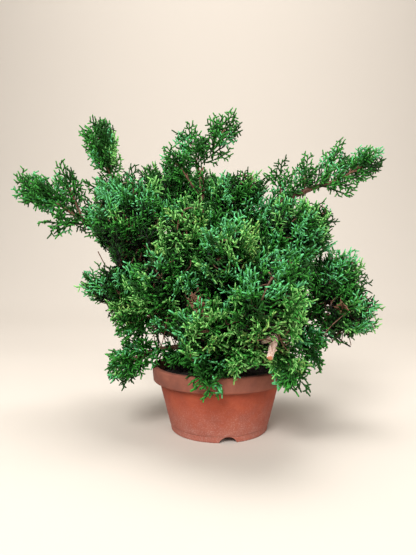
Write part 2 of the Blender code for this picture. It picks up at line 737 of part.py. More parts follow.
def build_core(mass, masses, limbs, collection):
    """A lumpy egg-shaped core in the middle of a dense mass: its directions and their shares."""
    bm = bmesh.new()
    bmesh.ops.create_uvsphere(bm, u_segments=CORE_SIDES, v_segments=CORE_LEVELS, radius=1.0)
    directions = np.array([(v.co.z, v.co.x, v.co.y) for v in bm.verts])
    shares = core_shares(mass, directions, masses, limbs)
    for vertex, direction, share in zip(bm.verts, directions, shares):
        bump = 1.0 - mass.random.uniform(0, CORE_BUMP)
        vertex.co = mass.centre + mass.frame @ (direction * mass.sizes * share * bump)
    bmesh.ops.recalc_face_normals(bm, faces=bm.faces)
    mesh_object(mass.name + "_core", bm, collection)
    return directions, shares


def spray_targets(mass):
    """Spray tips spread evenly over the space by the golden angle, more of them in a larger one."""
    area = mass.half * mass.girth
    if mass.dense:
        count = FEWEST_DENSE + round(area / AREA_PER_SPRAY_DENSE)
    else:
        count = FEWEST_OPEN + round(area / AREA_PER_SPRAY_OPEN)
    turn = mass.random.uniform(0, 2 * math.pi)
    for index in range(count):
        height = 1.0 - (1.0 - LOWEST_TARGET) * (index + TARGET_OFFSET) / count
        ring = math.sqrt(max(1.0 - height * height, 0.0))
        angle = turn + index * GOLDEN_ANGLE
        unit = np.array([height, ring * math.cos(angle), ring * math.sin(angle)])
        reach = mass.random.uniform(*SPRAY_REACH)
        tilt = [mass.random.uniform(-FACING_TILT, FACING_TILT) for _ in range(3)]
        yield unit, reach, np.array(tilt)


def grow_twigs(mass, masses, limbs, pieces):
    """Side twigs of an open mass by the golden angle, each leaving the stem forwards and outwards."""
    lines = []
    if mass.dense or mass.girth < SLIMMEST_WITH_TWIGS:
        return lines
    turn = mass.random.uniform(0, 2 * math.pi)
    for index in range(TWIGS_OPEN):
        angle = turn + index * GOLDEN_ANGLE
        forward = index * TWIG_SPACING / TWIGS_OPEN
        unit = np.array([TWIG_TO_HEIGHT + forward, math.cos(angle), math.sin(angle)])
        end = mass.centre + mass.frame @ (unit * mass.sizes * TWIG_REACH)
        start = along(mass.stem, mass.bare + (1 - mass.bare) * (TWIG_FROM + forward))
        way = start + np.linspace(0.25, 1, 8)[:, None] * (end - start)
        if has_room(way, TWIG_RADIUS, mass, masses, limbs).all():
            build_twig(f"{mass.name}_twig_{index}", start, end, pieces)
            lines.append(np.array([start, end]))
    return lines


def spray_root(mass, lines, tip):
    """Root of a spray behind its tip, on the stem or side twig that suits its length best."""
    best, chosen = None, None
    for line in [mass.stem] + lines:
        way = line[-1] - line[0]
        span = np.linalg.norm(way)
        forward = (tip - line[0]) @ way / span
        off = np.linalg.norm(tip - line[0] - forward * way / span)
        lowest = mass.bare + LOWEST_ROOT_ON_STEM if line is mass.stem else LOWEST_ROOT_ON_TWIG
        share = min(max((forward - SPRAY_SWEEP * off) / span, lowest), HIGHEST_ROOT)
        root = along(line, share)
        misfit = abs(np.linalg.norm(tip - root) - SPRAY_LENGTH)
        if best is None or misfit < best:
            best, chosen = misfit, root
    return chosen


def core_root(mass, unit, directions, shares):
    """Root of a spray in the core, behind its tip, so that the spray lies forwards over the core."""
    behind = unit - np.array([CORE_SWEEP, 0, 0])
    behind = behind / np.linalg.norm(behind)
    share = shares[np.argmax(directions @ behind)]
    return mass.centre + mass.frame @ (behind * mass.sizes * share * CORE_ROOT)


def place_spray(mass, root, tip, facing, placed, has_clear):
    """Try a spray shorter and turned about its length, until one fits: its size, frame and points."""
    for shrink, roll in SPRAY_TRIES:
        end = root + shrink * (tip - root)
        span = np.linalg.norm(end - root)
        length = span if mass.dense else min(SPRAY_LENGTH, LONGEST_BLADE_SHARE * span)
        if length < SHORTEST_SPRAY:
            return None
        frame = spray_frame(end - root, facing, roll)
        size = (length, span - length)
        samples = spray_points(root, frame, size, mass.dense)
        from_root = np.linalg.norm(samples - root, axis=1)
        outer = samples[from_root > ROOT_SHARE * span]
        if any(points_meet(outer, other) for other in placed):
            continue
        if has_clear(samples[from_root > ROOT_FREE]).all():
            return size, frame, outer
    return None


def grow_mass(mass, masses, limbs, parts, clearances):
    """Stem, twigs and sprays of one mass, and its core if it is dense, fused into one solid."""
    pieces = make_collection(mass.name + "_pieces")
    body = tube_mesh(mass.name, mass.stem[:-1], mass.stem_radii[:-1], parts, STEM_BEVEL)
    lines = grow_twigs(mass, masses, limbs, pieces)
    if mass.dense:
        directions, shares = build_core(mass, masses, limbs, pieces)
    placed = []
    for unit, reach, tilt in spray_targets(mass):
        tip = mass.centre + mass.frame @ (unit * mass.sizes * reach)
        if mass.dense:
            root = core_root(mass, unit, directions, shares)
            facing = mass.frame @ (unit / mass.sizes * mass.girth) + tilt
        else:
            root = spray_root(mass, lines, tip)
            facing = OPEN_FACING + tilt
        fit = place_spray(mass, root, tip, facing, placed,
                          lambda points: has_room(points, BLADE_MARGIN, mass, masses, limbs))
        if fit is not None:
            size, frame, outer = fit
            build_spray(f"{mass.name}_spray_{len(placed)}", root, frame, size, mass.dense, pieces)
            placed.append(outer)
    fuse(body, pieces)
    clear_of(body, clearances)
    body.data.materials.clear()
    body.data.materials.append(make_material("foliage", mass.random.uniform(0.8, 1.3)))


def build_clearance(name, line, radii, cutters):
    """A limb's clearance body for cutting: larger all round, and longer at its tip."""
    step = line[-1] - line[-2]
    longer = line.copy()
    longer[-1] = line[-1] + step / np.linalg.norm(step) * GAP
    clearance = tube_mesh(name + "_clearance", longer, radii + CLEARANCE, cutters)
    hide_as_cutter(clearance)
    return clearance


def build_limb(name, limbs, parts, finish, carrier_clearance):
    """A tapering limb, cut clear of what carries it."""
    limb = tube_mesh(name, *limbs[name], parts)
    clear_of(limb, [carrier_clearance])
    limb.data.materials.append(finish)


def plan_limbs():
    """Middle lines and radii of the trunk, the boughs and the cut stub."""
    trunk = trunk_line()
    limbs = {"trunk": (trunk, trunk_radii(trunk))}
    for name, (height, tip, arch, thick, thin) in BOUGHS.items():
        start = [np.interp(height, trunk[:, 2], trunk[:, axis]) for axis in range(3)]
        line = arched_line(start, tip, -arch, BOUGH_POINTS)
        limbs[name] = (line, np.linspace(thick, thin, BOUGH_POINTS))
    stub = smooth_line(STUB_LINE, STUB_POINTS)
    limbs["cut_stub"] = (stub, np.full(len(stub), STUB_RADIUS))
    return limbs


def main():
    """Build the pot, the soil, the limbs and the masses of foliage."""
    clear_scene()
    parts = make_collection(OBJECT_NAME)
    cutters = make_collection("cutters")
    build_pot(parts, cutters)
    build_soil(parts)
    limbs = plan_limbs()
    clearances = {"trunk": build_trunk(parts, cutters, limbs["trunk"][0])}
    for name in [*BOUGHS, "cut_stub"]:
        clearances[name] = build_clearance(name, *limbs[name], cutters)
    for name in BOUGHS:
        build_limb(name, limbs, parts, make_material("bark", 1.1), clearances["trunk"])
    build_limb("cut_stub", limbs, parts, make_material("stub_bark"), clearances["bough_front"])
    masses = {name: Mass(name, plan, limbs) for name, plan in MASSES.items()}
    for mass in masses.values():
        grow_mass(mass, masses, limbs, parts, clearances.values())


main()
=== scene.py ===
"""Looks of a juniper grown as a bonsai in a round terracotta pan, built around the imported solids.

The limbs are rebuilt with bark, the pan and the soil with their real surface, and every mass of
foliage grows again by the rule of the solids: from its stem to side branches, to finer twigs, to
flat sprays of scale-leaf shoots, each mass inside its own egg-shaped space.

Metres, +Z up, and millimetres in the tables of places. The origin is the centre of the pan's flat
underside, and the front faces -Y.
"""

import math
import random

import bpy
import numpy as np
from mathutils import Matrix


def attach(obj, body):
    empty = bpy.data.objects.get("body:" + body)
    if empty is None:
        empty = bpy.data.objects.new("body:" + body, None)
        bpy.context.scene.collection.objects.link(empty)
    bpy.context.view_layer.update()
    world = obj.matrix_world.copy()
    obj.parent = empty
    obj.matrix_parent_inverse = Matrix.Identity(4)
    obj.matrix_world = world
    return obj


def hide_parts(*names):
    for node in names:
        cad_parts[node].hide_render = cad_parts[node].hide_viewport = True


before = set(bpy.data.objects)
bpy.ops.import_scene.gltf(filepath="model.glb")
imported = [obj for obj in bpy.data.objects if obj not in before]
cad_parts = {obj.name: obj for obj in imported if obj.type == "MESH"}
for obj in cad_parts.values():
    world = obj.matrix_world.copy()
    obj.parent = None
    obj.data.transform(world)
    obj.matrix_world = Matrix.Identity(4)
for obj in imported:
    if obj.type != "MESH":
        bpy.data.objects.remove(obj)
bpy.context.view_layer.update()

MM = 0.001
TURN = 2 * math.pi
GOLDEN_ANGLE = math.pi * (3 - math.sqrt(5))

# Pan, with the sizes of its solid, and the least angle of an edge that stays sharp
POT_RADIUS = 75.0 * MM
POT_HEIGHT = 70.6 * MM
RIM_HEIGHT = 16.6 * MM
RIM_DRAFT = 1.2 * MM
RIM_LIP_ROUND = 2.2 * MM
RIM_THICKNESS = 6.2 * MM
RIM_EDGE_ROUND = 1.6 * MM
BODY_TOP = POT_HEIGHT - RIM_HEIGHT
BODY_TOP_RADIUS = 67.1 * MM
BODY_FOOT_RADIUS = 55.2 * MM
FOOT_RADIUS = 53.8 * MM
FOOT_EDGE = 0.8 * MM
FOOT_BAND_HEIGHT = 7.2 * MM
FOOT_BAND_STEP = 0.7 * MM
WALL_THICKNESS = 4.6 * MM
WALL_SLOPE = (BODY_TOP_RADIUS - BODY_FOOT_RADIUS) / (BODY_TOP - FOOT_BAND_HEIGHT)
FLOOR_THICKNESS = 9.5 * MM
CHANNEL_COUNT = 3
CHANNEL_WIDTH = 19.0 * MM
CHANNEL_HEIGHT = 6.5 * MM
CHANNEL_REACH = (28.0 * MM, 66 * MM)
CHANNEL_TURN = math.radians(-80.4)
DRAIN_RADIUS = 4.5 * MM
DRAIN_FROM_AXIS = 37.0 * MM
DRAIN_REACH = (-5 * MM, 20 * MM)
CUTTER_SIDES = 48
SHARP_ANGLE = math.radians(38)

# Face of the clay: steps round it, where its relief starts, depth of a slow wobble and of the
# ripples of the pressing, and chips in the rim: their number and height, and the least and
# greatest of their half angle, in radians, and of their depth, in millimetres
POT_STEPS = 288
RELIEF_FROM = 50 * MM
RELIEF_GROWS_IN = 3 * MM
CLAY_WOBBLE = 0.12 * MM
CLAY_RIPPLE = 0.05 * MM
RIM_CHIPS = 9
CHIP_HEIGHT = 1.6 * MM
CHIP_ANGLES = (0.02, 0.045)
CHIP_DEPTHS = (0.5, 1.1)

# Mottles, clouds, specks and grain of the clay: size in millimetres, detail and roughness
CLAY_PATTERNS = ((22, 6, 0.62), (14, 8, 0.7), (1.3, 3, 0.6), (0.9, 4, 0.5))

# Soil: its heights, how far its edge reaches into the rim, the radius of its innermost ring, the
# gap round it, and the waves and crumbs of its surface
SOIL_TOP = 66.0 * MM
SOIL_EDGE = 61.8 * MM
SOIL_FLAT_RADIUS = 24.0 * MM
SOIL_INTO_RIM = 0.45
SOIL_MIDDLE = 1.0 * MM
GAP = 0.3 * MM
SOIL_STEPS = 180
SOIL_RINGS = 56
SOIL_WAVES = 40
SHORTEST_WAVE = 3 * MM
LONGEST_TO_SHORTEST = 8
WAVE_STEEPNESS = 0.105
SOIL_CRUMBS = 1500
LEAST_CRUMB = 0.4 * MM
CRUMB_RANGE = 1.5 * MM

# Trunk: its middle line in metres, its radius, and the lobes of its root flare
TRUNK_LINE = [
    (0.006, 0.006, SOIL_TOP + GAP),
    (0.007, 0.012, 0.105),
    (-0.012, 0.020, 0.180),
    (-0.018, 0.020, 0.240),
    (-0.021, 0.020, 0.292),
]
TRUNK_FOOT_RADIUS = 12.5 * MM
TRUNK_TOP_RADIUS = 2.4 * MM
TRUNK_TAPER_POWER = 0.8
FLARE_REACH = 8.0 * MM
FLARE_HEIGHT = 12.0 * MM
FLARE_LOBES = 5
FLARE_TURN = 0.6
FLARE_BETWEEN_LOBES = 0.1
TRUNK_RINGS = 11
RINGS_TO_FOOT_POWER = 1.25
TRUNK_FINE = 200

# Rings and sides of the meshes with bark, and depth of the bark as a share of the radius
TRUNK_MESH = (240, 120)
BOUGH_MESH = (120, 36)
STUB_MESH = (160, 48)
TRUNK_BARK = 0.09
BOUGH_BARK = 0.16
BOUGH_KNOTS = 0.10
STUB_BARK = 0.42
STUB_BENDS = 0.14

# Boughs in millimetres: start height on the trunk, tip, how far the middle sags (+) or arches (-),
# and radius at both ends
BOUGHS = {
    "bough_left": (150, (-176, 14, 246), 6, 5.2, 2),
    "bough_upper_left": (205, (-127, 30, 281), 4, 4.2, 2),
    "bough_right": (186, (140, 30, 282), -16, 4.8, 2),
    "bough_crown_left": (126, (-76, -24, 194), 6, 4.8, 3),
    "bough_shoulder": (140, (46, 0, 178), 4, 4.8, 3),
    "bough_right_low": (88, (112, 4, 124), -8, 5.2, 2.4),
    "bough_left_mid": (106, (-84, 2, 138), 4, 4.6, 2.6),
    "bough_left_low": (84, (-70, -14, 88), -4, 4, 2.2),
    "bough_front": (94, (40, -64, 108), -6, 4.8, 3),
}

# Pruned branch with a sawn end: its line, radius and lift, the place, width and size of its knob, as
# shares, the share that is sheared at its end, and the thin twigs on it: place along it, and their
# end and arch in millimetres
STUB_LINE = np.array([(38, -56, 101.8), (43.5, -84, 107), (50.5, -101, 110.8), (47.8, -103, 102),
                      (45.5, -104, 91.5)]) / 1000
STUB_RADIUS = 2.6 * MM
STUB_LIFT = 3.5 * MM
KNOB_PLACE = 0.80
KNOB_WIDTH = 0.035
KNOB_SIZE = 0.9
SHEARED_SHARE = 0.1
STUB_TWIGS = [(0.66, (33.5, -106, 111.5), 2), (0.70, (60, -109, 112), 3), (0.60, (58, -102, 119), 1)]
STUB_TWIG_RADII = (0.7 * MM, 0.35 * MM)

# Distance from the stub's middle line, seen from the front, within which no spray hides it
STUB_VIEW = 10.5 * MM

# Masses of foliage: carrier, place along it (0 at its foot, 1 at its tip), bare share of the stem,
# furthest point, half of its girth, how far the stem arches, and whether it is dense
MASSES = {
    "left_tip": ("bough_left", 1.0, 0.00, (-236, 10, 281), 22, 0, False),
    "left_upper": ("bough_left", 0.90, 0.22, (-184, 4, 300), 16, 0, False),
    "left_lower": ("bough_left", 0.86, 0.20, (-204, -12, 228), 13, 0, False),
    "left_inner": ("bough_left", 0.62, 0.30, (-157, 0, 258), 17, 0, False),
    "upper_left": ("bough_upper_left", 1.0, 0.00, (-152, 30, 358), 31, 0, False),
    "upper_left_low": ("bough_upper_left", 0.74, 0.25, (-172, 62, 286), 14, 0, False),
    "leader": ("trunk", 1.0, 0.00, (16, 20, 361), 24, 0, False),
    "leader_middle": ("trunk", 0.93, 0.12, (-38, 22, 350), 18, 0, False),
    "leader_left": ("trunk", 0.86, 0.25, (-60, 8, 318), 18, 0, False),
    "top_small": ("trunk", 0.78, 0.40, (10, 30, 302), 17, 0, False),
    "right_inner": ("bough_right", 0.56, 0.12, (72, 24, 306), 17, 0, False),
    "right_middle": ("bough_right", 0.74, 0.12, (104, 32, 314), 17, 0, False),
    "right_upper": ("bough_right", 0.92, 0.10, (144, 30, 332), 16, 0, False),
    "right_tip": ("bough_right", 1.0, 0.05, (194, 30, 316), 18, 0, False),
    "right_under": ("bough_right", 0.88, 0.10, (152, 20, 262), 11, 0, False),
    "crown_left": ("bough_crown_left", 1.0, 0.00, (-119, -12, 276), 43, 0, True),
    "left_middle": ("bough_crown_left", 0.70, 0.30, (-143, 2, 199), 27, 0, True),
    "crown_top_left": ("trunk", 0.66, 0.36, (-92, 60, 304), 33, 0, True),
    "crown_front": ("trunk", 0.50, 0.28, (-42, -60, 244), 37, 0, True),
    "crown_right": ("trunk", 0.60, 0.28, (40, -6, 294), 35, 0, True),
    "right_shoulder": ("bough_shoulder", 1.0, 0.00, (102, -16, 250), 43, 0, True),
    "right_edge": ("bough_shoulder", 0.80, 0.36, (134, 16, 252), 29, 0, True),
    "back_top": ("trunk", 0.62, 0.30, (-33, 100, 300), 40, 0, True),
    "back_left": ("trunk", 0.42, 0.35, (-148, 110, 219), 40, 0, True),
    "back_right": ("trunk", 0.45, 0.35, (130, 105, 225), 40, 0, True),
    "back_middle": ("trunk", 0.48, 0.35, (10, 145, 235), 38, 0, True),
    "back_left_low": ("trunk", 0.19, 0.40, (-82, 122, 134), 39, 0, True),
    "back_right_low": ("trunk", 0.16, 0.40, (88, 112, 132), 39, 0, True),
    "front_left": ("trunk", 0.36, 0.34, (-78, -80, 190), 40, 0, True),
    "front_middle": ("trunk", 0.40, 0.36, (16, -120, 214), 37, 0, True),
    "front_right": ("trunk", 0.33, 0.36, (80, -85, 186), 37, 0, True),
    "front_low_right": ("bough_front", 1.0, 0.10, (46, -138, 178), 36, 0, True),
    "front_low_middle": ("trunk", 0.14, 0.40, (-22, -122, 142), 31, 0, True),
    "front_heart": ("trunk", 0.26, 0.16, (-26, -82, 166), 40, 0, True),
    "right_side": ("bough_right_low", 1.0, 0.00, (176, -10, 139), 37, 0, True),
    "right_rise": ("bough_right_low", 0.80, 0.16, (157, 10, 196), 32, 0, True),
    "right_hanging": ("bough_right_low", 0.66, 0.12, (116, -40, 74), 24, 4, False),
    "left_side": ("bough_left_mid", 1.0, 0.00, (-155, -8, 164), 35, 0, True),
    "left_hanging": ("bough_left_mid", 0.80, 0.20, (-108, -48, 112), 23, 0, False),
    "left_low": ("bough_left_low", 1.0, 0.00, (-116, -44, 65), 25, 4, False),
    "rim_front": ("trunk", 0.03, 0.50, (-12, -98, 55), 27, 22, False),
    "rim_middle": ("bough_front", 0.60, 0.15, (22, -102, 74), 23, 6, False),
    "rim_right": ("bough_front", 0.84, 0.15, (81, -92, 62), 22, 12, False),
}

# Growth rule, finer than in the solids. Wood: radius at both ends, sides and rings of its tubes
WOOD = {
    "stems": (1.7 * MM, 0.8 * MM, 8, 12),
    "branches": (1.1 * MM, 0.6 * MM, 5, 7),
    "twigs": (0.65 * MM, 0.45 * MM, 3, 4),
}

# Branches of a dense mass: how many, and where they end, from its centre, as shares of its sizes:
# along its axis, out from it, and what is left of both at the least and at the most. Then the points
# of its stem, and how many of them show
FEWEST_BRANCHES = 4
AREA_PER_BRANCH = 0.0010
FIRST_END = -0.55
ENDS_SPAN = 1.25
ENDS_OUT = 0.78
ENDS_LEFT = (0.55, 0.8)
STEM_POINTS = 30
STEM_SHOWN = 26

# Twigs of a dense mass: how far they run into their spray, as a share of it, how far behind it they
# start, as a share of the way, and how much further away a start counts that lies less far behind
TWIG_INTO_SPRAY = 0.12
TWIG_FROM_BEHIND = 0.3
TWIG_DETOUR = 30 * MM

# Branches of an open mass: the girth from which it has any, where they leave the stem, past its bare
# share and up to a share of it, their spacing and their own bare share, and its shortest spray
BRANCHED_GIRTH = 17.5 * MM
BRANCHES_AFTER = 0.08
BRANCHES_UP_TO = 0.66
BRANCH_STEP = 0.08
BRANCH_BARE = 0.25
SHORTEST_SPRAY = 10.0 * MM

# How far a branch, a dense spray's tip and middle, and an open spray may reach past the border with
# the next mass, and what keeps clear of the limbs, the pan and the floor
BRANCH_PAST = 2 * MM
TIP_PAST = 4 * MM
MIDDLE_PAST = 6 * MM
OPEN_PAST = 9 * MM
LIMB_CLEARANCE = 0.8 * MM
POT_CLEARANCE = 1.5 * MM
FLOOR_CLEARANCE = 4 * MM

# Layers of sprays: on top of a dense mass, between those, inside it, and in an open mass
OUTSIDE, BETWEEN, INSIDE, OPEN = range(4)

# Dense masses: spacing of sprays, and for each layer the share of them, and how near to the edge of
# the mass their tips lie. Some on top are longer, and those near its base take the darker tints of
# the layer between, painted shade.
# Then their lengths in millimetres, what they lean towards, and how far chance turns them
SPRAY_PITCH = 12.2 * MM
DENSE_LAYERS = ((0.60, 0.85, 1.05, OUTSIDE), (0.46, 0.64, 0.85, BETWEEN), (0.35, 0.42, 0.68, INSIDE))
LONGER_SHARE = 0.14
LONGER_BY = 0.14
DARK_BASE = -0.12
LEAN_OUT = 0.72
LEAN_AHEAD = 0.52
LEAN_UP = (0, 0, 0.40)
DENSE_LENGTHS = (20, 33)
SPRAY_SCATTER = 0.27
TIP_SCATTER = 0.10
FACE_SCATTER = 0.45

# Open masses: angle of the sprays, length of one that ends a stem or a branch, and spacing, with
# another one for some masses
OPEN_ANGLE = math.radians(36)
ENDING_SPRAY = 27 * MM
OPEN_PITCH = 2.6 * MM
PITCHES = {
    **dict.fromkeys(("leader", "leader_middle", "right_inner", "top_small"), 3.6 * MM),
    **dict.fromkeys(("left_low", "left_hanging", "rim_front", "rim_middle", "rim_right",
                     "right_hanging"), 2.3 * MM),
}

# Sprays: lengths that are made, how far an axis sways, and its side axes: the share of the axis that
# counts them, where they start and what they span, their spacing, length near the spray's tip, gain
# for each metre further back, greatest length, angle and roll. Then the shoots on them: what stays
# bare at the foot, where they start and what they span. A shoot's second ring lies at the bend
# place, and some layers have thicker shoots. At the end, how far sprays droop and sway
SPRAY_LENGTHS = np.array([13, 17, 21, 25, 29, 33]) * MM
SPRAYS_OF_A_LENGTH = 4
AXIS_SWAY = 0.05
SIDE_AXES_SHARE = 0.92
SIDE_AXES_FROM = 0.06
SIDE_AXES_SPAN = 0.88
SIDE_AXIS_STEP = 3.9 * MM
SIDE_AXIS_SHORT = 6.2 * MM
SIDE_AXIS_GAIN = 0.24
SIDE_AXIS_LONG = 11.5 * MM
SIDE_AXIS_ANGLE = 43
SIDE_AXIS_ROLL = 0.50
SHOOTS_BARE = 2.5 * MM
SHOOTS_FROM = 0.28
SHOOTS_SPAN = 0.55
SHOOT_LENGTH = 6.4 * MM
SHOOT_STEP = 2.9 * MM
SHOOT_ANGLE = 41
SHOOT_SCATTER = 0.14
SHOOT_RADIUS = 0.84 * MM
SHOOT_BEND_PLACE = 0.84
THICKER = {INSIDE: 1.3, OPEN: 1.18}
SPRAY_DROOP = (-0.10, 0.08)
SPRAY_SWAY = (-0.08, 0.08)

# Largest piece, counted in triangles, and triangles of a shoot
PIECE_LIMIT = 190000
TRIANGLES_PER_SHOOT = 10

# Sprays straight on limbs: spacing, least and greatest angle in degrees and length in millimetres,
# the share of the limb from which they grow, and what pulls them
LIMB_PITCH = 3.6 * MM
LIMB_ANGLES = (38, 60)
LIMB_LENGTHS = (17, 29)
UPWARDS = (0, -0.05, 0.30)
LIMB_SPRAYS = {
    "trunk": (0.60, UPWARDS),
    "bough_left": (0.55, UPWARDS),
    "bough_upper_left": (0.55, UPWARDS),
    "bough_right": (0.40, UPWARDS),
    "bough_crown_left": (0.40, UPWARDS),
    "bough_right_low": (0.40, UPWARDS),
    "bough_left_mid": (0.25, (0, -0.40, 0.0)),
    "bough_left_low": (0.05, (0, -1.10, -0.12)),
}

# Sprays over the soil: how many, where their fan starts and how wide it is, in degrees, how far from
# the axis and how high their tips lie, and their lengths, in millimetres
SOIL_SPRAYS = 22
SOIL_FAN = (160, 112)
SOIL_REACHES = (46, 68)
SOIL_HEIGHTS = (74, 81)
SOIL_LENGTHS = (24, 32)

# Bare twigs on the lowest left bough, and the least and greatest steps to their ends in millimetres
LOW_TWIGS = 16
LOW_TWIG_STEPS = ((-24, -30, 24), (14, -4, 44))

# Tints of the foliage. The near-black inner tint is painted shade for sprays deep in a mass. The
# light and blue tints are partly the paler waxy bloom of the scale leaves and partly painted highlight
TINTS = {
    "inner": "#050b03",
    "deep": "#16440f",
    "mid": "#347f2b",
    "blue": "#5aac70",
    "light": "#7cb862",
    "fresh": "#84ae58",
    "dead": "#7a5542",
}

# Tints that a kind of spray takes on its axis, on its side axes and on their shoots, each row for
# the chances below its number. Sprays inside a mass and between its layers take the near-black inner
# tint, painted shade, and the axes take darker tints than the shoots, partly the darker older
# foliage and partly painted shade
RECIPES = {
    "dead": [(1.00, "dead dead dead")],
    "fresh": [(0.16, "mid mid fresh"), (1.00, "deep mid light")],
    "inside": [(1.00, "inner inner deep")],
    "between": [(0.45, "inner deep mid"), (1.00, "inner inner deep")],
    "open": [(0.80, "deep deep mid"), (1.00, "deep deep deep")],
    "warm": [(0.15, "mid light fresh"), (0.62, "deep mid light"), (1.00, "deep deep mid")],
    **{tone: [(blue, "deep mid blue"), (light, "mid mid light"), (0.85, "deep deep mid"),
              (1.00, "deep deep deep")]
       for tone, blue, light in (("cool", 0.46, 0.70), ("plain", 0.30, 0.56), ("dark", 0.14, 0.26))},
}

# Chance of fresh sprays in a fresh place, of open sprays as bright as a dense mass's, and of dead ones
FRESH_SHARE = 0.75
BRIGHT_OPEN_SHARE = 0.15
DEAD_SHARE = 0.16

# Tone of a mass, where it isn't plain
TONES = {
    **dict.fromkeys(("crown_left", "front_middle", "right_shoulder", "crown_right", "left_side",
                     "front_low_right"), "cool"),
    **dict.fromkeys(("front_heart", "left_middle", "left_low"), "dark"),
    "rim_middle": "warm",
}

# Gaps that show the wall from the front, in millimetres: centre (X, Z) and radius, at Y = 0
SKY_GAPS = np.array([
    (-130, 189, 9), (-148, 197, 13), (-143, 130, 11), (-130, 114, 10), (-89, 189, 4),
    (-60, 98, 5), (-46, 92, 4), (-14, 99, 2), (136, 213, 7), (157, 216, 16),
    (173, 163, 7), (123, 134, 5), (101, 153, 3), (136, 78, 16), (152, 90, 10),
    (-26, 342, 5), (-10, 300, 8), (30, 300, 10), (50, 299, 10), (12, 291, 4),
    (-30, 292, 3), (108, 263, 6), (124, 258, 8), (142, 246, 10),
]) / 1000
GAP_MARGIN = 3 * MM

# Stretch of the rim in front that stays bare, in metres: least and greatest X, and greatest height
BARE_RIM = (0.014, 0.047, 0.080)

# Patches of yellow-green sprays, and hollows where only a few, dead ones are left: place and radius,
# in millimetres
FRESH_PLACES = np.array([
    (-47, -60, 214, 30), (20, -90, 200, 22), (79, -85, 133, 24), (-120, 30, 318, 18),
    (62, -85, 92, 16), (60, -120, 134, 24), (-4, -110, 116, 24), (30, -105, 100, 22),
    (-100, -20, 125, 20),
]) / 1000
DEAD_PLACES = np.array([
    (-38, -72, 215, 8), (14, -90, 185, 7), (-26, -90, 148, 19), (-77, -45, 194, 13),
    (99, -35, 132, 13), (133, -20, 134, 8),
]) / 1000

# Camera of the photograph: its eye, the way it looks, and its focal length against its long side
EYE_DISTANCE = 0.508
EYE_HEIGHT = 0.169
LOOK = (-0.0248, 1, -0.0028)
FOCAL_PIXELS = 450
LONG_SIDE_PIXELS = 555
SENSOR = 36

# Lights: place, aim, size and power
LIGHTS = {
    "key": ((-0.5, -1.6, 1.35), (0, 0, 0.18), 1.0, 60),
    "fill": ((1.1, -1.5, 0.8), (0, 0, 0.15), 1.0, 15),
    "top": ((0.1, 0.0, 1.9), (0, 0, 0.2), 0.9, 18),
    "wall": ((0.0, 0.7, 2.6), (0, 2.1, 0.95), 2.6, 56),
}
BACKDROP = [(-3.0, 0.0), (-1.5, 0.0), (0.0, 0.0), (0.4, 0.0), (0.8, 0.0), (1.3, 0.08), (1.8, 0.45),
            (2.05, 1.2), (2.1, 2.4), (2.1, 4.0)]
BACKDROP_HALF = 4.0
BACKDROP_ROWS = 60


def linear(colour):
    """Turn an sRGB hex colour into linear values with an alpha of 1."""
    parts = [int(colour[i:i + 2], 16) / 255 for i in (1, 3, 5)]
    return [p / 12.92 if p <= 0.04045 else ((p + 0.055) / 1.055) ** 2.4 for p in parts] + [1.0]


def feed(tree, socket, value):
    """Give a socket a value, or link it to a socket or to the first output in use of a node."""
    if isinstance(value, bpy.types.Node):
        value = next(output for output in value.outputs if output.enabled)
    if isinstance(value, bpy.types.NodeSocket):
        tree.links.new(value, socket)
    else:
        socket.default_value = value


def add(tree, kind, inputs=None, stops=None, **settings):
    """Add a node with its settings, what feeds its inputs, and the stops of its ramp."""
    made = tree.nodes.new("ShaderNode" + kind)
    for name, value in settings.items():
        setattr(made, name, value)
    for name, value in (inputs or {}).items():
        feed(tree, made.inputs[name], value)
    if stops:
        ramp = made.color_ramp.elements
        while len(ramp) < len(stops):
            ramp.new(1.0)
        for element, (place, colour) in zip(ramp, stops):
            element.position = place
            element.color = linear(colour)
    return made


def start_material(name, values):
    """A material with these values on its Principled shader, its tree and its Object coordinates."""
    material = bpy.data.materials.new(name)
    material.use_nodes = True
    tree = material.node_tree
    for socket, value in values.items():
        tree.nodes["Principled BSDF"].inputs[socket].default_value = value
    return material, tree, add(tree, "TexCoord").outputs["Object"]


def finish_material(material, colour, height=None, strength=0.0, depth=0.0):
    """Give a material its colour, and bumps of a depth from the node that makes their height."""
    tree = material.node_tree
    shader = tree.nodes["Principled BSDF"]
    feed(tree, shader.inputs["Base Color"], colour)
    if height:
        bump = add(tree, "Bump", {"Height": height, "Strength": strength, "Distance": depth})
        feed(tree, shader.inputs["Normal"], bump)
    return material


def grained(name, roughness, grain, detail, colours, bump=0.0, depth=0.0, fibre=1.0):
    """A material with grains of a size, dark to light, drawn out along Z where fibre is under 1."""
    material, tree, place = start_material(name, {"Roughness": roughness})
    drawn = add(tree, "Mapping", {"Vector": place, "Scale": (1.0, 1.0, fibre)})
    noise = add(tree, "TexNoise", {"Vector": drawn, "Scale": 1 / grain, **detail})
    colour = add(tree, "ValToRGB", {"Fac": noise}, colours)
    return finish_material(material, colour, noise if bump else None, bump, depth)


def turns(count):
    """Angles of equal steps round a turn."""
    return np.arange(count) * TURN / count


def unit(vectors):
    """Vectors of length 1."""
    return vectors / np.linalg.norm(vectors, axis=-1, keepdims=True)


def smooth_line(points, count):
    """Points spread along a smooth curve through the given ones (Catmull-Rom)."""
    knots = np.array(points, float)
    padded = np.vstack([2 * knots[0] - knots[1], knots, 2 * knots[-1] - knots[-2]])
    place = np.linspace(0, len(knots) - 1, count)
    index = np.minimum(place.astype(int), len(knots) - 2)
    t = (place - index)[:, None]
    a, b, c, d = (padded[index + k] for k in range(4))
    return 0.5 * (2 * b + (c - a) * t + (2 * a - 5 * b + 4 * c - d) * t ** 2
                  + (3 * b - a - 3 * c + d) * t ** 3)


def drawn_line(start, control, end, count):
    """Points on a quadratic curve from start to end that a control point draws aside."""
    t = np.linspace(0, 1, count)[:, None]
    return (1 - t) ** 2 * start + 2 * t * (1 - t) * control + t ** 2 * end


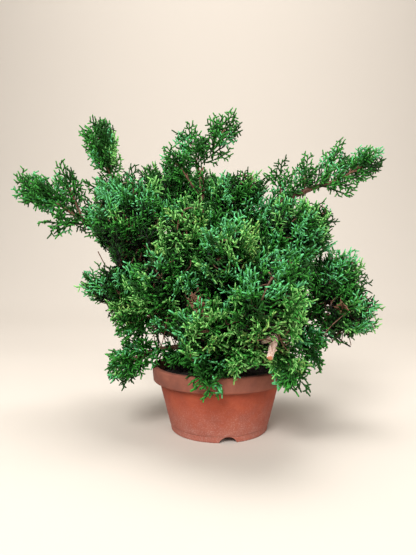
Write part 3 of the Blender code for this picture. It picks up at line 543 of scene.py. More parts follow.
def arched_line(start, end, arch, count):
    """Curve from start to end whose middle is lifted by arch."""
    start, end = np.array(start, float), np.array(end, float)
    return drawn_line(start, (start + end) / 2 + np.array([0, 0, 2 * arch]), end, count)


def branch_line(start, end, ahead, count):
    """Curve from start to end that leaves start in the direction ahead."""
    return drawn_line(start, start + 0.5 * np.linalg.norm(end - start) * unit(ahead), end, count)


def along(line, share):
    """Point at a share of a line's number of steps."""
    place = share * (len(line) - 1)
    index = min(int(place), len(line) - 2)
    return line[index] + (place - index) * (line[index + 1] - line[index])


def length_of(line):
    """Length of a line."""
    return np.linalg.norm(np.diff(line, axis=0), axis=1).sum()


def make_piece(name, shape, material, slot=None, nodes=(), smooth=True):
    """A mesh object at the origin, from points (n, 3) and a list of face arrays (m, corners).

    With a slot, it rides with the plant, and it stands for its nodes, which it hides.
    """
    points, faces = shape
    mesh = bpy.data.meshes.new(name)
    mesh.vertices.add(len(points))
    mesh.vertices.foreach_set("co", np.asarray(points, np.float32).ravel())
    corners = np.concatenate([f.ravel() for f in faces]).astype(np.int32)
    sizes = np.concatenate([np.full(len(f), f.shape[1]) for f in faces])
    mesh.loops.add(len(corners))
    mesh.loops.foreach_set("vertex_index", corners)
    mesh.polygons.add(len(sizes))
    mesh.polygons.foreach_set("loop_start", (np.cumsum(sizes) - sizes).astype(np.int32))
    mesh.update(calc_edges=True)
    mesh.validate()
    if smooth:
        mesh.shade_smooth()
    mesh.materials.append(material)
    piece = bpy.data.objects.new(name, mesh)
    bpy.context.scene.collection.objects.link(piece)
    if slot:
        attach(piece, "root")
    if nodes:
        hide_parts(*nodes)
    return piece


def grid_faces(rows, columns):
    """Quads of a grid that closes on itself from its last column to its first."""
    row, column = np.meshgrid(np.arange(rows - 1), np.arange(columns), indexing="ij")
    after = (column + 1) % columns
    return np.stack([row * columns + column, row * columns + after,
                     (row + 1) * columns + after, (row + 1) * columns + column], -1).reshape(-1, 4)


def closed_grid(grid):
    """Points and faces of a ring grid, its first and last rings closed by a fan to their middle."""
    rows, columns, _ = grid.shape
    points = np.vstack([grid.reshape(-1, 3), grid[0].mean(0), grid[-1].mean(0)])
    column = np.arange(columns)
    after = (column + 1) % columns
    first_middle = rows * columns
    last = (rows - 1) * columns
    first_fan = np.stack([np.full(columns, first_middle), after, column], -1)
    last_fan = np.stack([np.full(columns, first_middle + 1), last + column, last + after], -1)
    return points, [grid_faces(rows, columns), first_fan, last_fan]


def waves(angle, height, seed, lowest, highest, count, stretch):
    """Relief that repeats round a limb: cosines of whole numbers of turns that drift with the height.

    The relief is the sum of count cosines of (n times the angle plus m times the height plus a
    phase), divided by the square root of count, with n between lowest and highest, m up to stretch,
    and seeded random phases.
    """
    rng = np.random.default_rng(seed)
    total = np.zeros(np.broadcast(angle, height).shape)
    for turn in rng.integers(lowest, highest + 1, count):
        drift = rng.uniform(-stretch, stretch)
        total += np.cos(turn * angle + drift * height + rng.uniform(0, TURN))
    return total / math.sqrt(count)


def ring_ways(ahead, mean, sides):
    """Directions round each direction ahead, and the second of the two that they are made from.

    The first of the two is the direction ahead crossed with one that stays fixed while the mean
    direction does, and the second is the direction ahead crossed with the first.
    """
    fixed = np.where(np.abs(mean[..., 2:]) > 0.8, [0.0, 1.0, 0.0], [0.0, 0.0, 1.0])
    across = unit(np.cross(ahead, fixed))
    other = np.cross(ahead, across)
    angle = turns(sides)[:, None]
    return np.cos(angle) * across[..., None, :] + np.sin(angle) * other[..., None, :], other


def tube_rings(lines, radii, sides):
    """Rings round many lines at once, (tubes, rings, sides, 3), with radii (rings, 1 or sides)."""
    ahead = unit(np.gradient(lines, axis=1))
    mean = unit(lines[:, -1] - lines[:, 0])
    return lines[:, :, None, :] + radii[..., None] * ring_ways(ahead, mean[:, None], sides)[0]


def join_tubes(rings):
    """Points and faces of many tubes of equal rings and sides, each closed by a face at both ends."""
    tubes, rows, sides, _ = rings.shape
    quads = grid_faces(rows, sides)
    ends = np.stack([np.arange(sides)[::-1], (rows - 1) * sides + np.arange(sides)])
    step = (np.arange(tubes) * rows * sides)[:, None, None]
    return rings.reshape(-1, 3), [(quads + step).reshape(-1, 4), (ends + step).reshape(-1, sides)]


# The pan

def pot_profile():
    """The pan's outline (radius, height), from the floor inside, over the rim, to the underside."""
    lip = POT_RADIUS - RIM_DRAFT
    inside_top = POT_RADIUS - RIM_THICKNESS
    inside_low = BODY_FOOT_RADIUS + WALL_SLOPE * (FLOOR_THICKNESS - FOOT_BAND_HEIGHT) - WALL_THICKNESS
    inside_mid = BODY_TOP_RADIUS - WALL_THICKNESS
    quarter = np.linspace(0, math.pi / 2, 7)
    edge = RIM_EDGE_ROUND
    stretches = [
        np.linspace((0.0, FLOOR_THICKNESS), (inside_low, FLOOR_THICKNESS), 6),
        np.linspace((inside_low, FLOOR_THICKNESS), (inside_mid, BODY_TOP), 8)[1:],
        np.linspace((inside_mid, BODY_TOP), (inside_top, POT_HEIGHT - edge), 12)[1:],
        np.column_stack([inside_top + edge * (1 - np.cos(quarter)),
                         POT_HEIGHT - edge + edge * np.sin(quarter)])[1:],
        np.column_stack([POT_RADIUS - edge + edge * np.sin(quarter),
                         POT_HEIGHT - edge + edge * np.cos(quarter)]),
        np.linspace((POT_RADIUS, POT_HEIGHT - edge), (lip, BODY_TOP + RIM_LIP_ROUND), 12)[1:],
        np.column_stack([lip - RIM_LIP_ROUND * (1 - np.cos(quarter)),
                         BODY_TOP + RIM_LIP_ROUND * (1 - np.sin(quarter))])[1:],
        np.linspace((lip - RIM_LIP_ROUND, BODY_TOP), (BODY_TOP_RADIUS + 0.5 * MM, BODY_TOP), 4)[1:],
        np.linspace((BODY_TOP_RADIUS, BODY_TOP - 0.5 * MM), (BODY_FOOT_RADIUS, FOOT_BAND_HEIGHT), 40),
        np.linspace((BODY_FOOT_RADIUS - FOOT_BAND_STEP, FOOT_BAND_HEIGHT - FOOT_BAND_STEP),
                    (FOOT_RADIUS, FOOT_EDGE), 10),
        np.linspace((FOOT_RADIUS - FOOT_EDGE, 0.0), (0.0, 0.0), 10),
    ]
    return np.vstack(stretches)


def pot_relief(radius, height, angle):
    """How far the clay stands in or out: a slow wobble, fine ripples of the pressing, and rim chips.

    The wobble and the ripples are sums of waves. A chip is a depth times a bell curve of the angle
    from its middle and a bell curve of the distance below the rim's top.
    """
    wobble = CLAY_WOBBLE * waves(angle, height, 3, 2, 6, 6, 60)
    ripple = CLAY_RIPPLE * waves(angle, height, 4, 1, 9, 10, 2600)
    chips = 0
    near_edge = np.exp(-((POT_HEIGHT - height) / CHIP_HEIGHT) ** 2) * (radius > POT_RADIUS - 3 * MM)
    rng = random.Random("chips")
    for _ in range(RIM_CHIPS):
        turn = rng.uniform(0, TURN)
        width = rng.uniform(*CHIP_ANGLES)
        off = np.angle(np.exp(1j * (angle - turn))) / width
        chips = chips + rng.uniform(*CHIP_DEPTHS) * MM * np.exp(-off ** 2) * near_edge
    return wobble + ripple - chips


def build_pot():
    """The pan: its outline turned round the Z axis, with relief, then its channels and drains cut."""
    profile = pot_profile()
    angle = turns(POT_STEPS)
    radius, height = profile[:, :1], profile[:, 1:]
    outer = np.clip((radius - RELIEF_FROM) / RELIEF_GROWS_IN, 0, 1)
    reach = radius + outer * pot_relief(radius, height, angle)
    grid = np.stack([reach * np.cos(angle), reach * np.sin(angle),
                     np.broadcast_to(height, reach.shape)], -1)[1:-1]
    pot = make_piece("pot_clay", closed_grid(grid[:, ::-1]), terracotta(), "terracotta", ["pot"])
    arch_radius = (CHANNEL_WIDTH ** 2 / 4 + CHANNEL_HEIGHT ** 2) / (2 * CHANNEL_HEIGHT)
    up = np.array([0, 0, 1])
    cutters = []
    for index in range(CHANNEL_COUNT):
        turn = CHANNEL_TURN + index * TURN / CHANNEL_COUNT
        out = np.array([math.cos(turn), math.sin(turn), 0.0])
        channel = [out * far + (CHANNEL_HEIGHT - arch_radius) * up for far in CHANNEL_REACH]
        drain = [out * DRAIN_FROM_AXIS + level * up for level in DRAIN_REACH]
        for line, size in ((channel, arch_radius), (drain, DRAIN_RADIUS)):
            rings = tube_rings(np.array([line]), np.full((2, 1), size), CUTTER_SIDES)[0]
            cutters.append(make_piece(f"cutter_{len(cutters)}", closed_grid(rings), None))
    for cutter in cutters:
        cut = pot.modifiers.new("cut", "BOOLEAN")
        cut.operation = "DIFFERENCE"
        cut.solver = "EXACT"
        cut.object = cutter
    bpy.context.view_layer.update()
    evaluated = pot.evaluated_get(bpy.context.evaluated_depsgraph_get())
    mesh = bpy.data.meshes.new_from_object(evaluated)
    pot.modifiers.clear()
    pot.data = mesh
    mesh.set_sharp_from_angle(angle=SHARP_ANGLE)
    for cutter in cutters:
        bpy.data.objects.remove(cutter, do_unlink=True)


def terracotta():
    """Terracotta, pressed and fired without glaze: dry, mottled, with a dusty bloom low down."""
    material, tree, place = start_material("terracotta_pressed_unglazed", {"Roughness": 0.9})
    height = add(tree, "SeparateXYZ", {"Vector": place}).outputs["Z"]
    mottle, cloud, specks, grain = (
        add(tree, "TexNoise", {"Vector": place, "Scale": 1 / (size * MM), "Detail": detail,
                               "Roughness": roughness}) for size, detail, roughness in CLAY_PATTERNS)
    clay, rim = (add(tree, "ValToRGB", {"Fac": mottle}, list(zip((0.30, 0.50, 0.72), colours)))
                 for colours in (("#7f331b", "#90391c", "#9c4626"), ("#623427", "#763f2e", "#864d3a")))
    band = add(tree, "MapRange", {"Value": height, "From Min": 50 * MM, "From Max": 57 * MM})
    body = add(tree, "Mix", {"Factor": band, "A": clay, "B": rim}, data_type="RGBA")
    low = add(tree, "MapRange", {"Value": height, "From Min": 50 * MM, "From Max": 8 * MM})
    dusty = add(tree, "Math", {0: cloud, 1: low}, operation="MULTIPLY")
    bloom = add(tree, "MapRange", {"Value": dusty, "From Min": 0.12, "From Max": 0.66, "To Max": 0.60})
    dusted = add(tree, "Mix", {"Factor": bloom, "A": body, "B": linear("#96665a")}, data_type="RGBA")
    spots = add(tree, "MapRange", {"Value": specks, "From Min": 0.50, "From Max": 0.74, "To Max": 0.7})
    shown = add(tree, "Math", {0: spots, 1: dusty, 2: 0.02}, operation="MULTIPLY_ADD")
    speckled = add(tree, "Mix", {"Factor": shown, "A": dusted, "B": linear("#c8a195")},
                   data_type="RGBA")
    return finish_material(material, speckled, grain, 0.35, 0.25 * MM)


# The soil

def build_soil():
    """Soil: a turned outline whose top is lifted and lowered by waves, with loose crumbs on it."""
    inside_mid = BODY_TOP_RADIUS - WALL_THICKNESS - 2 * GAP
    inside_low = inside_mid - WALL_SLOPE * (BODY_TOP - FLOOR_THICKNESS)
    inside_top = inside_mid + SOIL_INTO_RIM * (POT_RADIUS - RIM_THICKNESS - inside_mid)

    def level(reach):
        """Height of the smooth top, which falls from a flat middle to the edge."""
        share = np.clip((reach - SOIL_FLAT_RADIUS) / (inside_top - SOIL_FLAT_RADIUS), 0, 1)
        return SOIL_TOP + share * (SOIL_EDGE - SOIL_TOP)

    top = np.linspace(SOIL_MIDDLE, inside_top - 0.2 * MM, SOIL_RINGS)
    profile = np.vstack([
        np.column_stack([top, level(top)]),
        [(inside_top - 0.2 * MM, SOIL_EDGE - 1 * MM), (inside_mid, BODY_TOP - 1 * MM)],
        [(inside_low, FLOOR_THICKNESS + GAP), (SOIL_MIDDLE, FLOOR_THICKNESS + GAP)],
    ])
    angle = turns(SOIL_STEPS)
    radius, height = profile[:, :1], profile[:, 1:]
    x, y = radius * np.cos(angle), radius * np.sin(angle)
    rough = soil_relief(x, y) * (np.arange(len(profile)) < SOIL_RINGS)[:, None]
    grid = np.stack([x, y, height + rough], -1)
    material = potting_soil()
    make_piece("soil_bed", closed_grid(grid[:, ::-1]), material, "soil", ["soil"])
    rng = np.random.default_rng(11)
    reach = (inside_top - 2 * MM) * np.sqrt(rng.uniform(0.02, 1, SOIL_CRUMBS))
    turn = rng.uniform(0, TURN, SOIL_CRUMBS)
    x, y = reach * np.cos(turn), reach * np.sin(turn)
    size = LEAST_CRUMB + CRUMB_RANGE * rng.uniform(0, 1, SOIL_CRUMBS) ** 3
    height = level(reach) + soil_relief(x, y) + 0.2 * size
    crumbs = lumps(np.stack([x, y, height], -1), size, rng)
    make_piece("soil_crumbs", crumbs, material, "soil", smooth=False)


def soil_relief(x, y):
    """Height of the soil's surface: seeded plane waves, from 3 to 24 mm long, the longest highest."""
    rng = np.random.default_rng(7)
    total = np.zeros(np.broadcast(x, y).shape)
    for _ in range(SOIL_WAVES):
        length = SHORTEST_WAVE * LONGEST_TO_SHORTEST ** rng.uniform()
        way = rng.uniform(0, TURN)
        phase = rng.uniform(0, TURN)
        wave = np.cos((x * math.cos(way) + y * math.sin(way)) * TURN / length + phase)
        total += WAVE_STEEPNESS * length * wave / math.sqrt(SOIL_WAVES)
    return total - 0.3 * MM


def lumps(places, sizes, rng):
    """Points and faces of small uneven lumps: octahedra with each corner pulled in or out."""
    corners = np.array([(1, 0, 0), (-1, 0, 0), (0, 1, 0), (0, -1, 0), (0, 0, 1), (0, 0, -1)], float)
    upper = [(0, 2, 4), (2, 1, 4), (1, 3, 4), (3, 0, 4)]
    lower = [(2, 0, 5), (1, 2, 5), (3, 1, 5), (0, 3, 5)]
    spread = rng.uniform(0.6, 1.2, (len(places), 6, 1)) * corners
    turn = rng.uniform(0, TURN, len(places))
    cos, sin = np.cos(turn)[:, None], np.sin(turn)[:, None]
    turned = np.stack([cos * spread[..., 0] - sin * spread[..., 1],
                       sin * spread[..., 0] + cos * spread[..., 1], 0.7 * spread[..., 2]], -1)
    points = (places[:, None] + sizes[:, None, None] * turned).reshape(-1, 3)
    return points, repeated([*upper, *lower], 6, len(places))


def repeated(tris, points, count):
    """Triangles of a shape with so many points, repeated count times."""
    return [(np.array(tris)[None] + points * np.arange(count)[:, None, None]).reshape(-1, 3)]


def potting_soil():
    """Potting soil, sieved and moist: nearly black, matt, with brown fibres."""
    return grained("potting_soil_moist", 0.95, 2.4 * MM, {"Detail": 5.0, "Roughness": 0.7},
                   [(0.35, "#120e0b"), (0.55, "#261c15"), (0.72, "#4a3526")], 0.6, 0.6 * MM)


# The limbs

def trunk_radius(height, line):
    """Radius of the trunk at a height: it thins by a power of the share of its height."""
    share = (height - line[0, 2]) / (line[-1, 2] - line[0, 2])
    return TRUNK_FOOT_RADIUS + (TRUNK_TOP_RADIUS - TRUNK_FOOT_RADIUS) * share ** TRUNK_TAPER_POWER


def plan_limbs():
    """Middle lines and radii, without the root flare, of the trunk, the boughs and the cut stub."""
    share = np.linspace(0, 1, TRUNK_RINGS) ** RINGS_TO_FOOT_POWER
    trunk = smooth_line(TRUNK_LINE, TRUNK_FINE)[(share * (TRUNK_FINE - 1)).astype(int)]
    limbs = {"trunk": (trunk, trunk_radius(trunk[:, 2], trunk))}
    for name, (height, tip, sag, *radii) in BOUGHS.items():
        start = [np.interp(height / 1000, trunk[:, 2], trunk[:, axis]) for axis in range(3)]
        line = arched_line(start, np.array(tip) / 1000, -sag / 1000, 6)
        limbs[name] = (line, np.linspace(*radii, 6) / 1000)
    limbs["cut_stub"] = (smooth_line(STUB_LINE, 9), np.full(9, STUB_RADIUS))
    return limbs


def strips(angle, height, seed, turns_round):
    """Bark in long strips: 1 on a strip and 0 in the furrow beside it.

    It is a half, plus most of a set of fine waves whose angle a slow set shifts, plus a quarter of
    the slow set, cut off at 0 and at 1.
    """
    slow = waves(angle, height, seed, 2, max(turns_round // 3, 3), 8, 90)
    fine = waves(angle + 0.12 * slow, height, seed + 1, max(turns_round // 2, 3), turns_round, 16, 160)
    return np.clip(0.5 + 0.9 * fine + 0.25 * slow, 0, 1)


def build_trunk(line, material):
    """The trunk: level rings from the flat cut to the tip, with root lobes and strips of bark."""
    rows, sides = TRUNK_MESH
    height = np.linspace(line[0, 2], line[-1, 2], rows)[:, None]
    angle = turns(sides)
    lobe = (1 + np.cos(FLARE_LOBES * angle + FLARE_TURN)) / 2
    flare = FLARE_REACH * np.exp((line[0, 2] - height) / FLARE_HEIGHT)
    radius = trunk_radius(height, line)
    relief = TRUNK_BARK * radius * (strips(angle + 9 * height, height, 21, 22) - 0.5)
    reach = radius + flare * (FLARE_BETWEEN_LOBES + (1 - FLARE_BETWEEN_LOBES) * lobe) + relief
    middle = [np.interp(height, line[:, 2], line[:, axis]) for axis in (0, 1)]
    grid = np.stack([middle[0] + reach * np.cos(angle), middle[1] + reach * np.sin(angle),
                     np.broadcast_to(height, reach.shape)], -1)
    make_piece("trunk_bark", closed_grid(grid), material, "bark", ["trunk"])


def build_bough(name, line, radii, seed, material):
    """A bough: rings along its line, cut where its solid is, with strips of bark and slight knots."""
    rows, sides = BOUGH_MESH
    share = np.linspace(0, 1, rows)
    radius = np.interp(share, np.linspace(0, 1, len(line)), radii)[:, None]
    angle = turns(sides)
    run = share[:, None] * np.linalg.norm(line[-1] - line[0])
    relief = BOUGH_BARK * (strips(angle + 12 * run, run, seed, 12) - 0.55)
    knots = BOUGH_KNOTS * waves(angle, run, seed + 5, 1, 3, 5, 130)
    rings = tube_rings(smooth_line(line, rows)[None], radius * (1 + relief + knots), sides)[0]
    make_piece(f"{name}_bark", closed_grid(rings), material, "bark", [name])


def build_stub(line, radii, material, twig_bark):
    """The pruned branch: peeling strips, a knob, a slanting sawn face that shows, and thin twigs.

    Its radius is multiplied by 1 plus the strips, slow bends and the knob, a bell curve of the share
    on its right side. Its last rings are drawn back in front and ahead behind, so that the sawn face
    turns towards the front.
    """
    rows, sides = STUB_MESH
    share = np.linspace(0, 1, rows)[:, None]
    fine = smooth_line(line, rows) + np.clip(2 * share, 0, 1) * (0, 0, STUB_LIFT)
    angle = turns(sides)
    run = share * length_of(line)
    flakes = STUB_BARK * (strips(angle + 20 * run, run, 60, 9) - 0.6)
    bends = STUB_BENDS * waves(angle, run, 66, 1, 3, 6, 420)
    radius = 0.9 * np.interp(share, np.linspace(0, 1, len(line)), radii)
    out = unit(tube_rings(fine[None], radius, sides)[0] - fine[:, None])
    knob = np.exp(-((share - KNOB_PLACE) / KNOB_WIDTH) ** 2) * np.clip(out[..., 0], 0, 1) ** 2
    rings = fine[:, None] + (radius * (1 + flakes + bends + KNOB_SIZE * knob))[..., None] * out
    sheared = np.clip((share - 1) / SHEARED_SHARE + 1, 0, 1)
    back = sheared * STUB_RADIUS * 1.1 * (0.4 - out[..., 1]) / 1.4
    end, onwards = fine[-1], unit(fine[-1] - fine[-4])
    rings -= back[..., None] * onwards
    make_piece("stub_bark", closed_grid(rings), material, "stub_bark", ["cut_stub"])
    face = np.stack([rings[-1] + 0.15 * MM * onwards,
                     end + 0.9 * (rings[-1] - end) + 0.4 * MM * onwards])
    make_piece("stub_cut", closed_grid(face), sawn_wood(), "stub_bark")
    twigs = np.stack([arched_line(along(fine, place), np.array(tip) / 1000, arch / 1000, 8)
                      for place, tip, arch in STUB_TWIGS])
    tubes = tube_rings(twigs, np.linspace(*STUB_TWIG_RADII, 8)[:, None], 6)
    make_piece("stub_twigs", join_tubes(tubes), twig_bark, "bark")


def sawn_wood():
    """Juniper wood, sawn across and dried: matt salmon heartwood, a little mottled."""
    return grained("juniper_wood_sawn", 0.8, 0.8 * MM, {"Detail": 4.0},
                   [(0.35, "#a86848"), (0.55, "#c88862"), (0.70, "#d8a080")])


def juniper_bark(name, furrow, strip, ridge):
    """Juniper bark, grown: thin stringy strips that flake, darker in the furrows, pale on ridges."""
    return grained(name, 0.88, 1.6 * MM, {"Detail": 6.0, "Roughness": 0.65},
                   [(0.32, furrow), (0.50, strip), (0.70, ridge)], 0.7, 0.5 * MM, fibre=0.22)


# The foliage

class Mass:
    """A mass of foliage: its stem, the egg-shaped space that it may fill, and what limits it."""

    def __init__(self, name, plan, limbs):
        """Work the stem and the space out from the mass's few named sizes."""
        self.name = name
        carrier, place, self.bare, tip, girth, arch, self.dense = plan
        tip = np.array(tip) / 1000
        self.girth = girth / 1000
        self.stem = arched_line(along(limbs[carrier][0], place), tip, arch / 1000, 5)
        foot = along(self.stem, self.bare)
        half = np.linalg.norm(tip - foot) / 2
        self.axis = unit(tip - foot)
        self.centre = (foot + tip) / 2
        side = unit(np.cross(self.axis, (0, 1, 0)))
        self.frame = np.column_stack([self.axis, side, np.cross(self.axis, side)])
        self.sizes = np.array([half, self.girth, self.girth])
        self.area = 4 * math.pi * (half * self.girth * 2 + self.girth ** 2) / 3
        self.random = np.random.default_rng([ord(letter) for letter in name])
        self.limbs = limbs
        self.others = []

    def level(self, points):
        """0 at the centre of the space, 1 at its edge, and the slope of that measure."""
        inside = (points - self.centre) @ self.frame / self.sizes
        value = np.linalg.norm(inside, axis=-1) + 1e-9
        slope = np.linalg.norm(inside / self.sizes, axis=-1) / value
        return value, slope

    def has_room(self, points, overlap):
        """True where points keep to the mass's own space, clear of the limbs, the pan and the floor."""
        own, own_slope = self.level(points)
        clear = points[:, 2] > FLOOR_CLEARANCE
        for other in self.others:
            level, slope = other.level(points)
            clear &= (level - own) / (slope + own_slope) > -overlap
        for line, radii in self.limbs.values():
            clear &= distance_to_line(points, line, radii) > LIMB_CLEARANCE
        from_axis = np.hypot(points[:, 0], points[:, 1])
        in_pot = (points[:, 2] < POT_HEIGHT + POT_CLEARANCE) & (from_axis < POT_RADIUS + POT_CLEARANCE)
        return clear & ~in_pot

    def room_ahead(self, root, ahead):
        """Length from a root along a direction to the edge of the space."""
        start = (root - self.centre) @ self.frame / self.sizes
        step = ahead @ self.frame / self.sizes
        a, b, c = step @ step, start @ step, start @ start - 1
        return (-b + math.sqrt(max(b * b - a * c, 0))) / a


def distance_to_line(points, line, radii):
    """Distance from points to a tapering line's surface."""
    best = np.full(len(points), np.inf)
    for a, b, ra, rb in zip(line, line[1:], radii, radii[1:]):
        step = b - a
        t = np.clip((points - a) @ step / (step @ step), 0, 1)
        gap = np.linalg.norm(points - (a + t[:, None] * step), axis=1) - (ra + t * (rb - ra))
        best = np.minimum(best, gap)
    return best


def spray_template(name, length, forked):
    """Shoots of one spray, as rows of foot, tip, radius share and youth.

    The axis runs along X and sways a little. Side axes leave it in turn left and right, rolled a
    little out of its plane and longest near its foot, and if the spray is forked they carry shoots
    in turn on both sides. Youth is 0 at the axis's foot, 1 on the side axes and 2 on the shoots.
    """
    chance = random.Random(name)
    knots = np.linspace(0, 1, 4)
    sway = chance.uniform(-AXIS_SWAY, AXIS_SWAY)
    middle = length * np.column_stack([knots, sway * np.sin(math.pi * knots), 0.02 * np.sin(5 * knots)])
    rows = [[*a, *(b + 0.03 * (b - a)), thick, youth]
            for a, b, thick, youth in zip(middle, middle[1:], (1.0, 0.95, 0.9), (0, 1, 2))]
    side = chance.choice((-1, 1))
    count = round(SIDE_AXES_SHARE * length / SIDE_AXIS_STEP)
    for index in range(count):
        share = SIDE_AXES_FROM + SIDE_AXES_SPAN * (index + 0.5 + chance.uniform(-0.2, 0.2)) / count
        side = -side
        lean = math.radians(SIDE_AXIS_ANGLE + chance.uniform(-7, 7))
        roll = chance.gauss(0, SIDE_AXIS_ROLL)
        way = np.array([math.cos(lean), side * math.sin(lean) * math.cos(roll),
                        math.sin(lean) * math.sin(roll)])
        reach = min(SIDE_AXIS_SHORT + SIDE_AXIS_GAIN * (1 - share) * length, SIDE_AXIS_LONG)
        reach *= chance.uniform(0.85, 1.15)
        start = along(middle, share)
        rows.append([*start, *(start + reach * way), 0.95, 1])
        towards = unit(np.array([1.0, 0, 0]) - way[0] * way)
        shoots = round((reach - SHOOTS_BARE) / SHOOT_STEP) if forked else 0
        for step in range(shoots):
            turn = 1 if step % 2 else -1
            inner = SHOOTS_FROM + SHOOTS_SPAN * (step + 0.5) / shoots
            angle = math.radians(SHOOT_ANGLE + chance.uniform(-8, 8))
            ahead = math.cos(angle) * way + turn * math.sin(angle) * towards
            ahead = unit(ahead + np.array([chance.gauss(0, SHOOT_SCATTER) for _ in range(3)]))
            small = SHOOT_LENGTH * chance.uniform(0.8, 1.15) * (1.15 - 0.35 * inner)
            root = start + inner * reach * way
            rows.append([*root, *(root + small * ahead), 0.9, 2])
    return np.array(rows)


def even_directions(count, turn):
    """Directions spread evenly over a sphere by the golden angle, the mass's axis first."""
    height = 1 - (2 * np.arange(count) + 1) / count
    ring = np.sqrt(1 - height ** 2)
    angle = np.arange(count) * GOLDEN_ANGLE + turn
    return np.column_stack([height, ring * np.cos(angle), ring * np.sin(angle)])


def grow_branches(mass):
    """Side branches by the golden angle: each leaves the stem forwards and bends outwards."""
    count = FEWEST_BRANCHES + round(mass.area / AREA_PER_BRANCH)
    turn = mass.random.uniform(0, TURN)
    lines = []
    for index in range(count):
        share = (index + 0.5) / count
        angle = turn + index * GOLDEN_ANGLE
        out = np.array([FIRST_END + ENDS_SPAN * share,
                        ENDS_OUT * math.cos(angle), ENDS_OUT * math.sin(angle)])
        end = mass.centre + mass.frame @ (out * mass.sizes * mass.random.uniform(*ENDS_LEFT))
        start = along(mass.stem, mass.bare + (1 - mass.bare) * (0.04 + 0.80 * share))
        line = branch_line(start, end, mass.axis + 0.6 * unit(end - start), 7)
        if mass.has_room(line[2:], BRANCH_PAST).all() and not fills_gap(line).any():
            lines.append(line)
    return lines


def dense_seats(mass):
    """Seats of a dense mass's sprays in its three layers: root, direction, face, length and layer.

    They lean from the space's edge outwards, ahead along the mass, and upwards.
    """
    rng = mass.random
    all_sprays = max(round(mass.area / SPRAY_PITCH ** 2), 10)
    seats = []
    for share, low, high, layer in DENSE_LAYERS:
        count = round(share * all_sprays)
        ways = even_directions(count, rng.uniform(0, 6))
        ways = unit(ways + rng.normal(0, TIP_SCATTER, ways.shape))
        reach = rng.uniform(low, high, count)[:, None]
        if layer == OUTSIDE:
            reach *= 1 + LONGER_BY * (rng.uniform(size=(count, 1)) < LONGER_SHARE)
        tips = mass.centre + (ways * reach * mass.sizes) @ mass.frame.T
        normal = unit((ways / mass.sizes) @ mass.frame.T)
        ahead = unit(LEAN_OUT * normal + LEAN_AHEAD * mass.axis + np.array(LEAN_UP)
                     + rng.normal(0, SPRAY_SCATTER, (count, 3)))
        length = rng.uniform(*DENSE_LENGTHS, count) * MM
        keep = mass.has_room(tips, TIP_PAST)
        keep &= mass.has_room(tips - 0.5 * length[:, None] * ahead, MIDDLE_PAST)
        for index in np.nonzero(keep)[0]:
            # Outer sprays near the mass's base take the darker tints of the layer between: painted
            # shade
            shaded = layer == OUTSIDE and ways[index, 0] < DARK_BASE
            seats.append((tips[index] - length[index] * ahead[index], ahead[index],
                          normal[index] + rng.normal(0, FACE_SCATTER, 3), length[index],
                          BETWEEN if shaded else layer))
    return seats


def dense_growth(mass):
    """Wood and sprays of a dense mass: stem, side branches, and a fine twig to each spray."""
    branches = grow_branches(mass)
    wood = [("stems", before_gap(smooth_line(mass.stem, STEM_POINTS)[:STEM_SHOWN]))]
    wood += [("branches", line) for line in branches]
    skeleton = np.vstack([smooth_line(line, 19)[4:] for line in [mass.stem, *branches]])
    seats = [seat for seat in dense_seats(mass) if stays(seat)]
    for root, ahead, _, length, _ in seats:
        behind = (root - skeleton) @ ahead
        away = np.linalg.norm(root - skeleton, axis=1)
        detour = np.where(behind < TWIG_FROM_BEHIND * away, TWIG_DETOUR, 0)
        start = skeleton[np.argmin(away + detour)]
        end = root + TWIG_INTO_SPRAY * length * ahead
        wood.append(("twigs", branch_line(end, start, -ahead, 4)[::-1]))
    return wood, seats


def turned_out(axis, side, roll, lean):
    """Direction that leaves an axis by an angle, to a side of the plane that faces the front."""
    level = (0.0, 1.0, 0.0) if abs(axis[1]) < 0.8 else (0.0, 0.0, 1.0)
    flat = unit(np.cross(axis, level))
    deep = np.cross(axis, flat)
    across = side * (math.cos(roll) * flat + math.sin(roll) * deep)
    return math.cos(lean) * axis + math.sin(lean) * across, across


def open_seat(root, ahead, across, length, rng):
    """Seat of a spray that lies roughly in the plane of two directions."""
    return root, ahead, np.cross(ahead, across) + rng.normal(0, 0.3, 3), length, OPEN


def heading(line, share):
    """Direction of a line at a share of its length."""
    return unit(along(line, min(share + 0.1, 1.0)) - along(line, max(min(share, 0.9) - 0.05, 0)))


def open_lines(mass):
    """Lines that carry the sprays of an open mass: its stem, and branches left and right in turn.

    Each line comes with its kind and the share of it that stays bare, and the last branch's side
    is returned with them.
    """
    rng = mass.random
    side = rng.choice((-1, 1))
    lines = [("stems", mass.stem, mass.bare)]
    shares = np.arange(mass.bare + BRANCHES_AFTER, BRANCHES_UP_TO, BRANCH_STEP)
    for share in shares if mass.girth > BRANCHED_GIRTH else ():
        side = -side
        axis, root = heading(mass.stem, share), along(mass.stem, share)
        ahead, _ = turned_out(axis, side, rng.normal(0, 0.8), OPEN_ANGLE * rng.uniform(0.9, 1.2))
        end = root + 0.95 * mass.room_ahead(root, ahead) * ahead
        line = branch_line(root, end, axis + 0.8 * ahead, 7)
        if mass.has_room(line[-2:], OPEN_PAST).all() and not fills_gap(line).any():
            lines.append(("branches", line, BRANCH_BARE))
    return lines, side


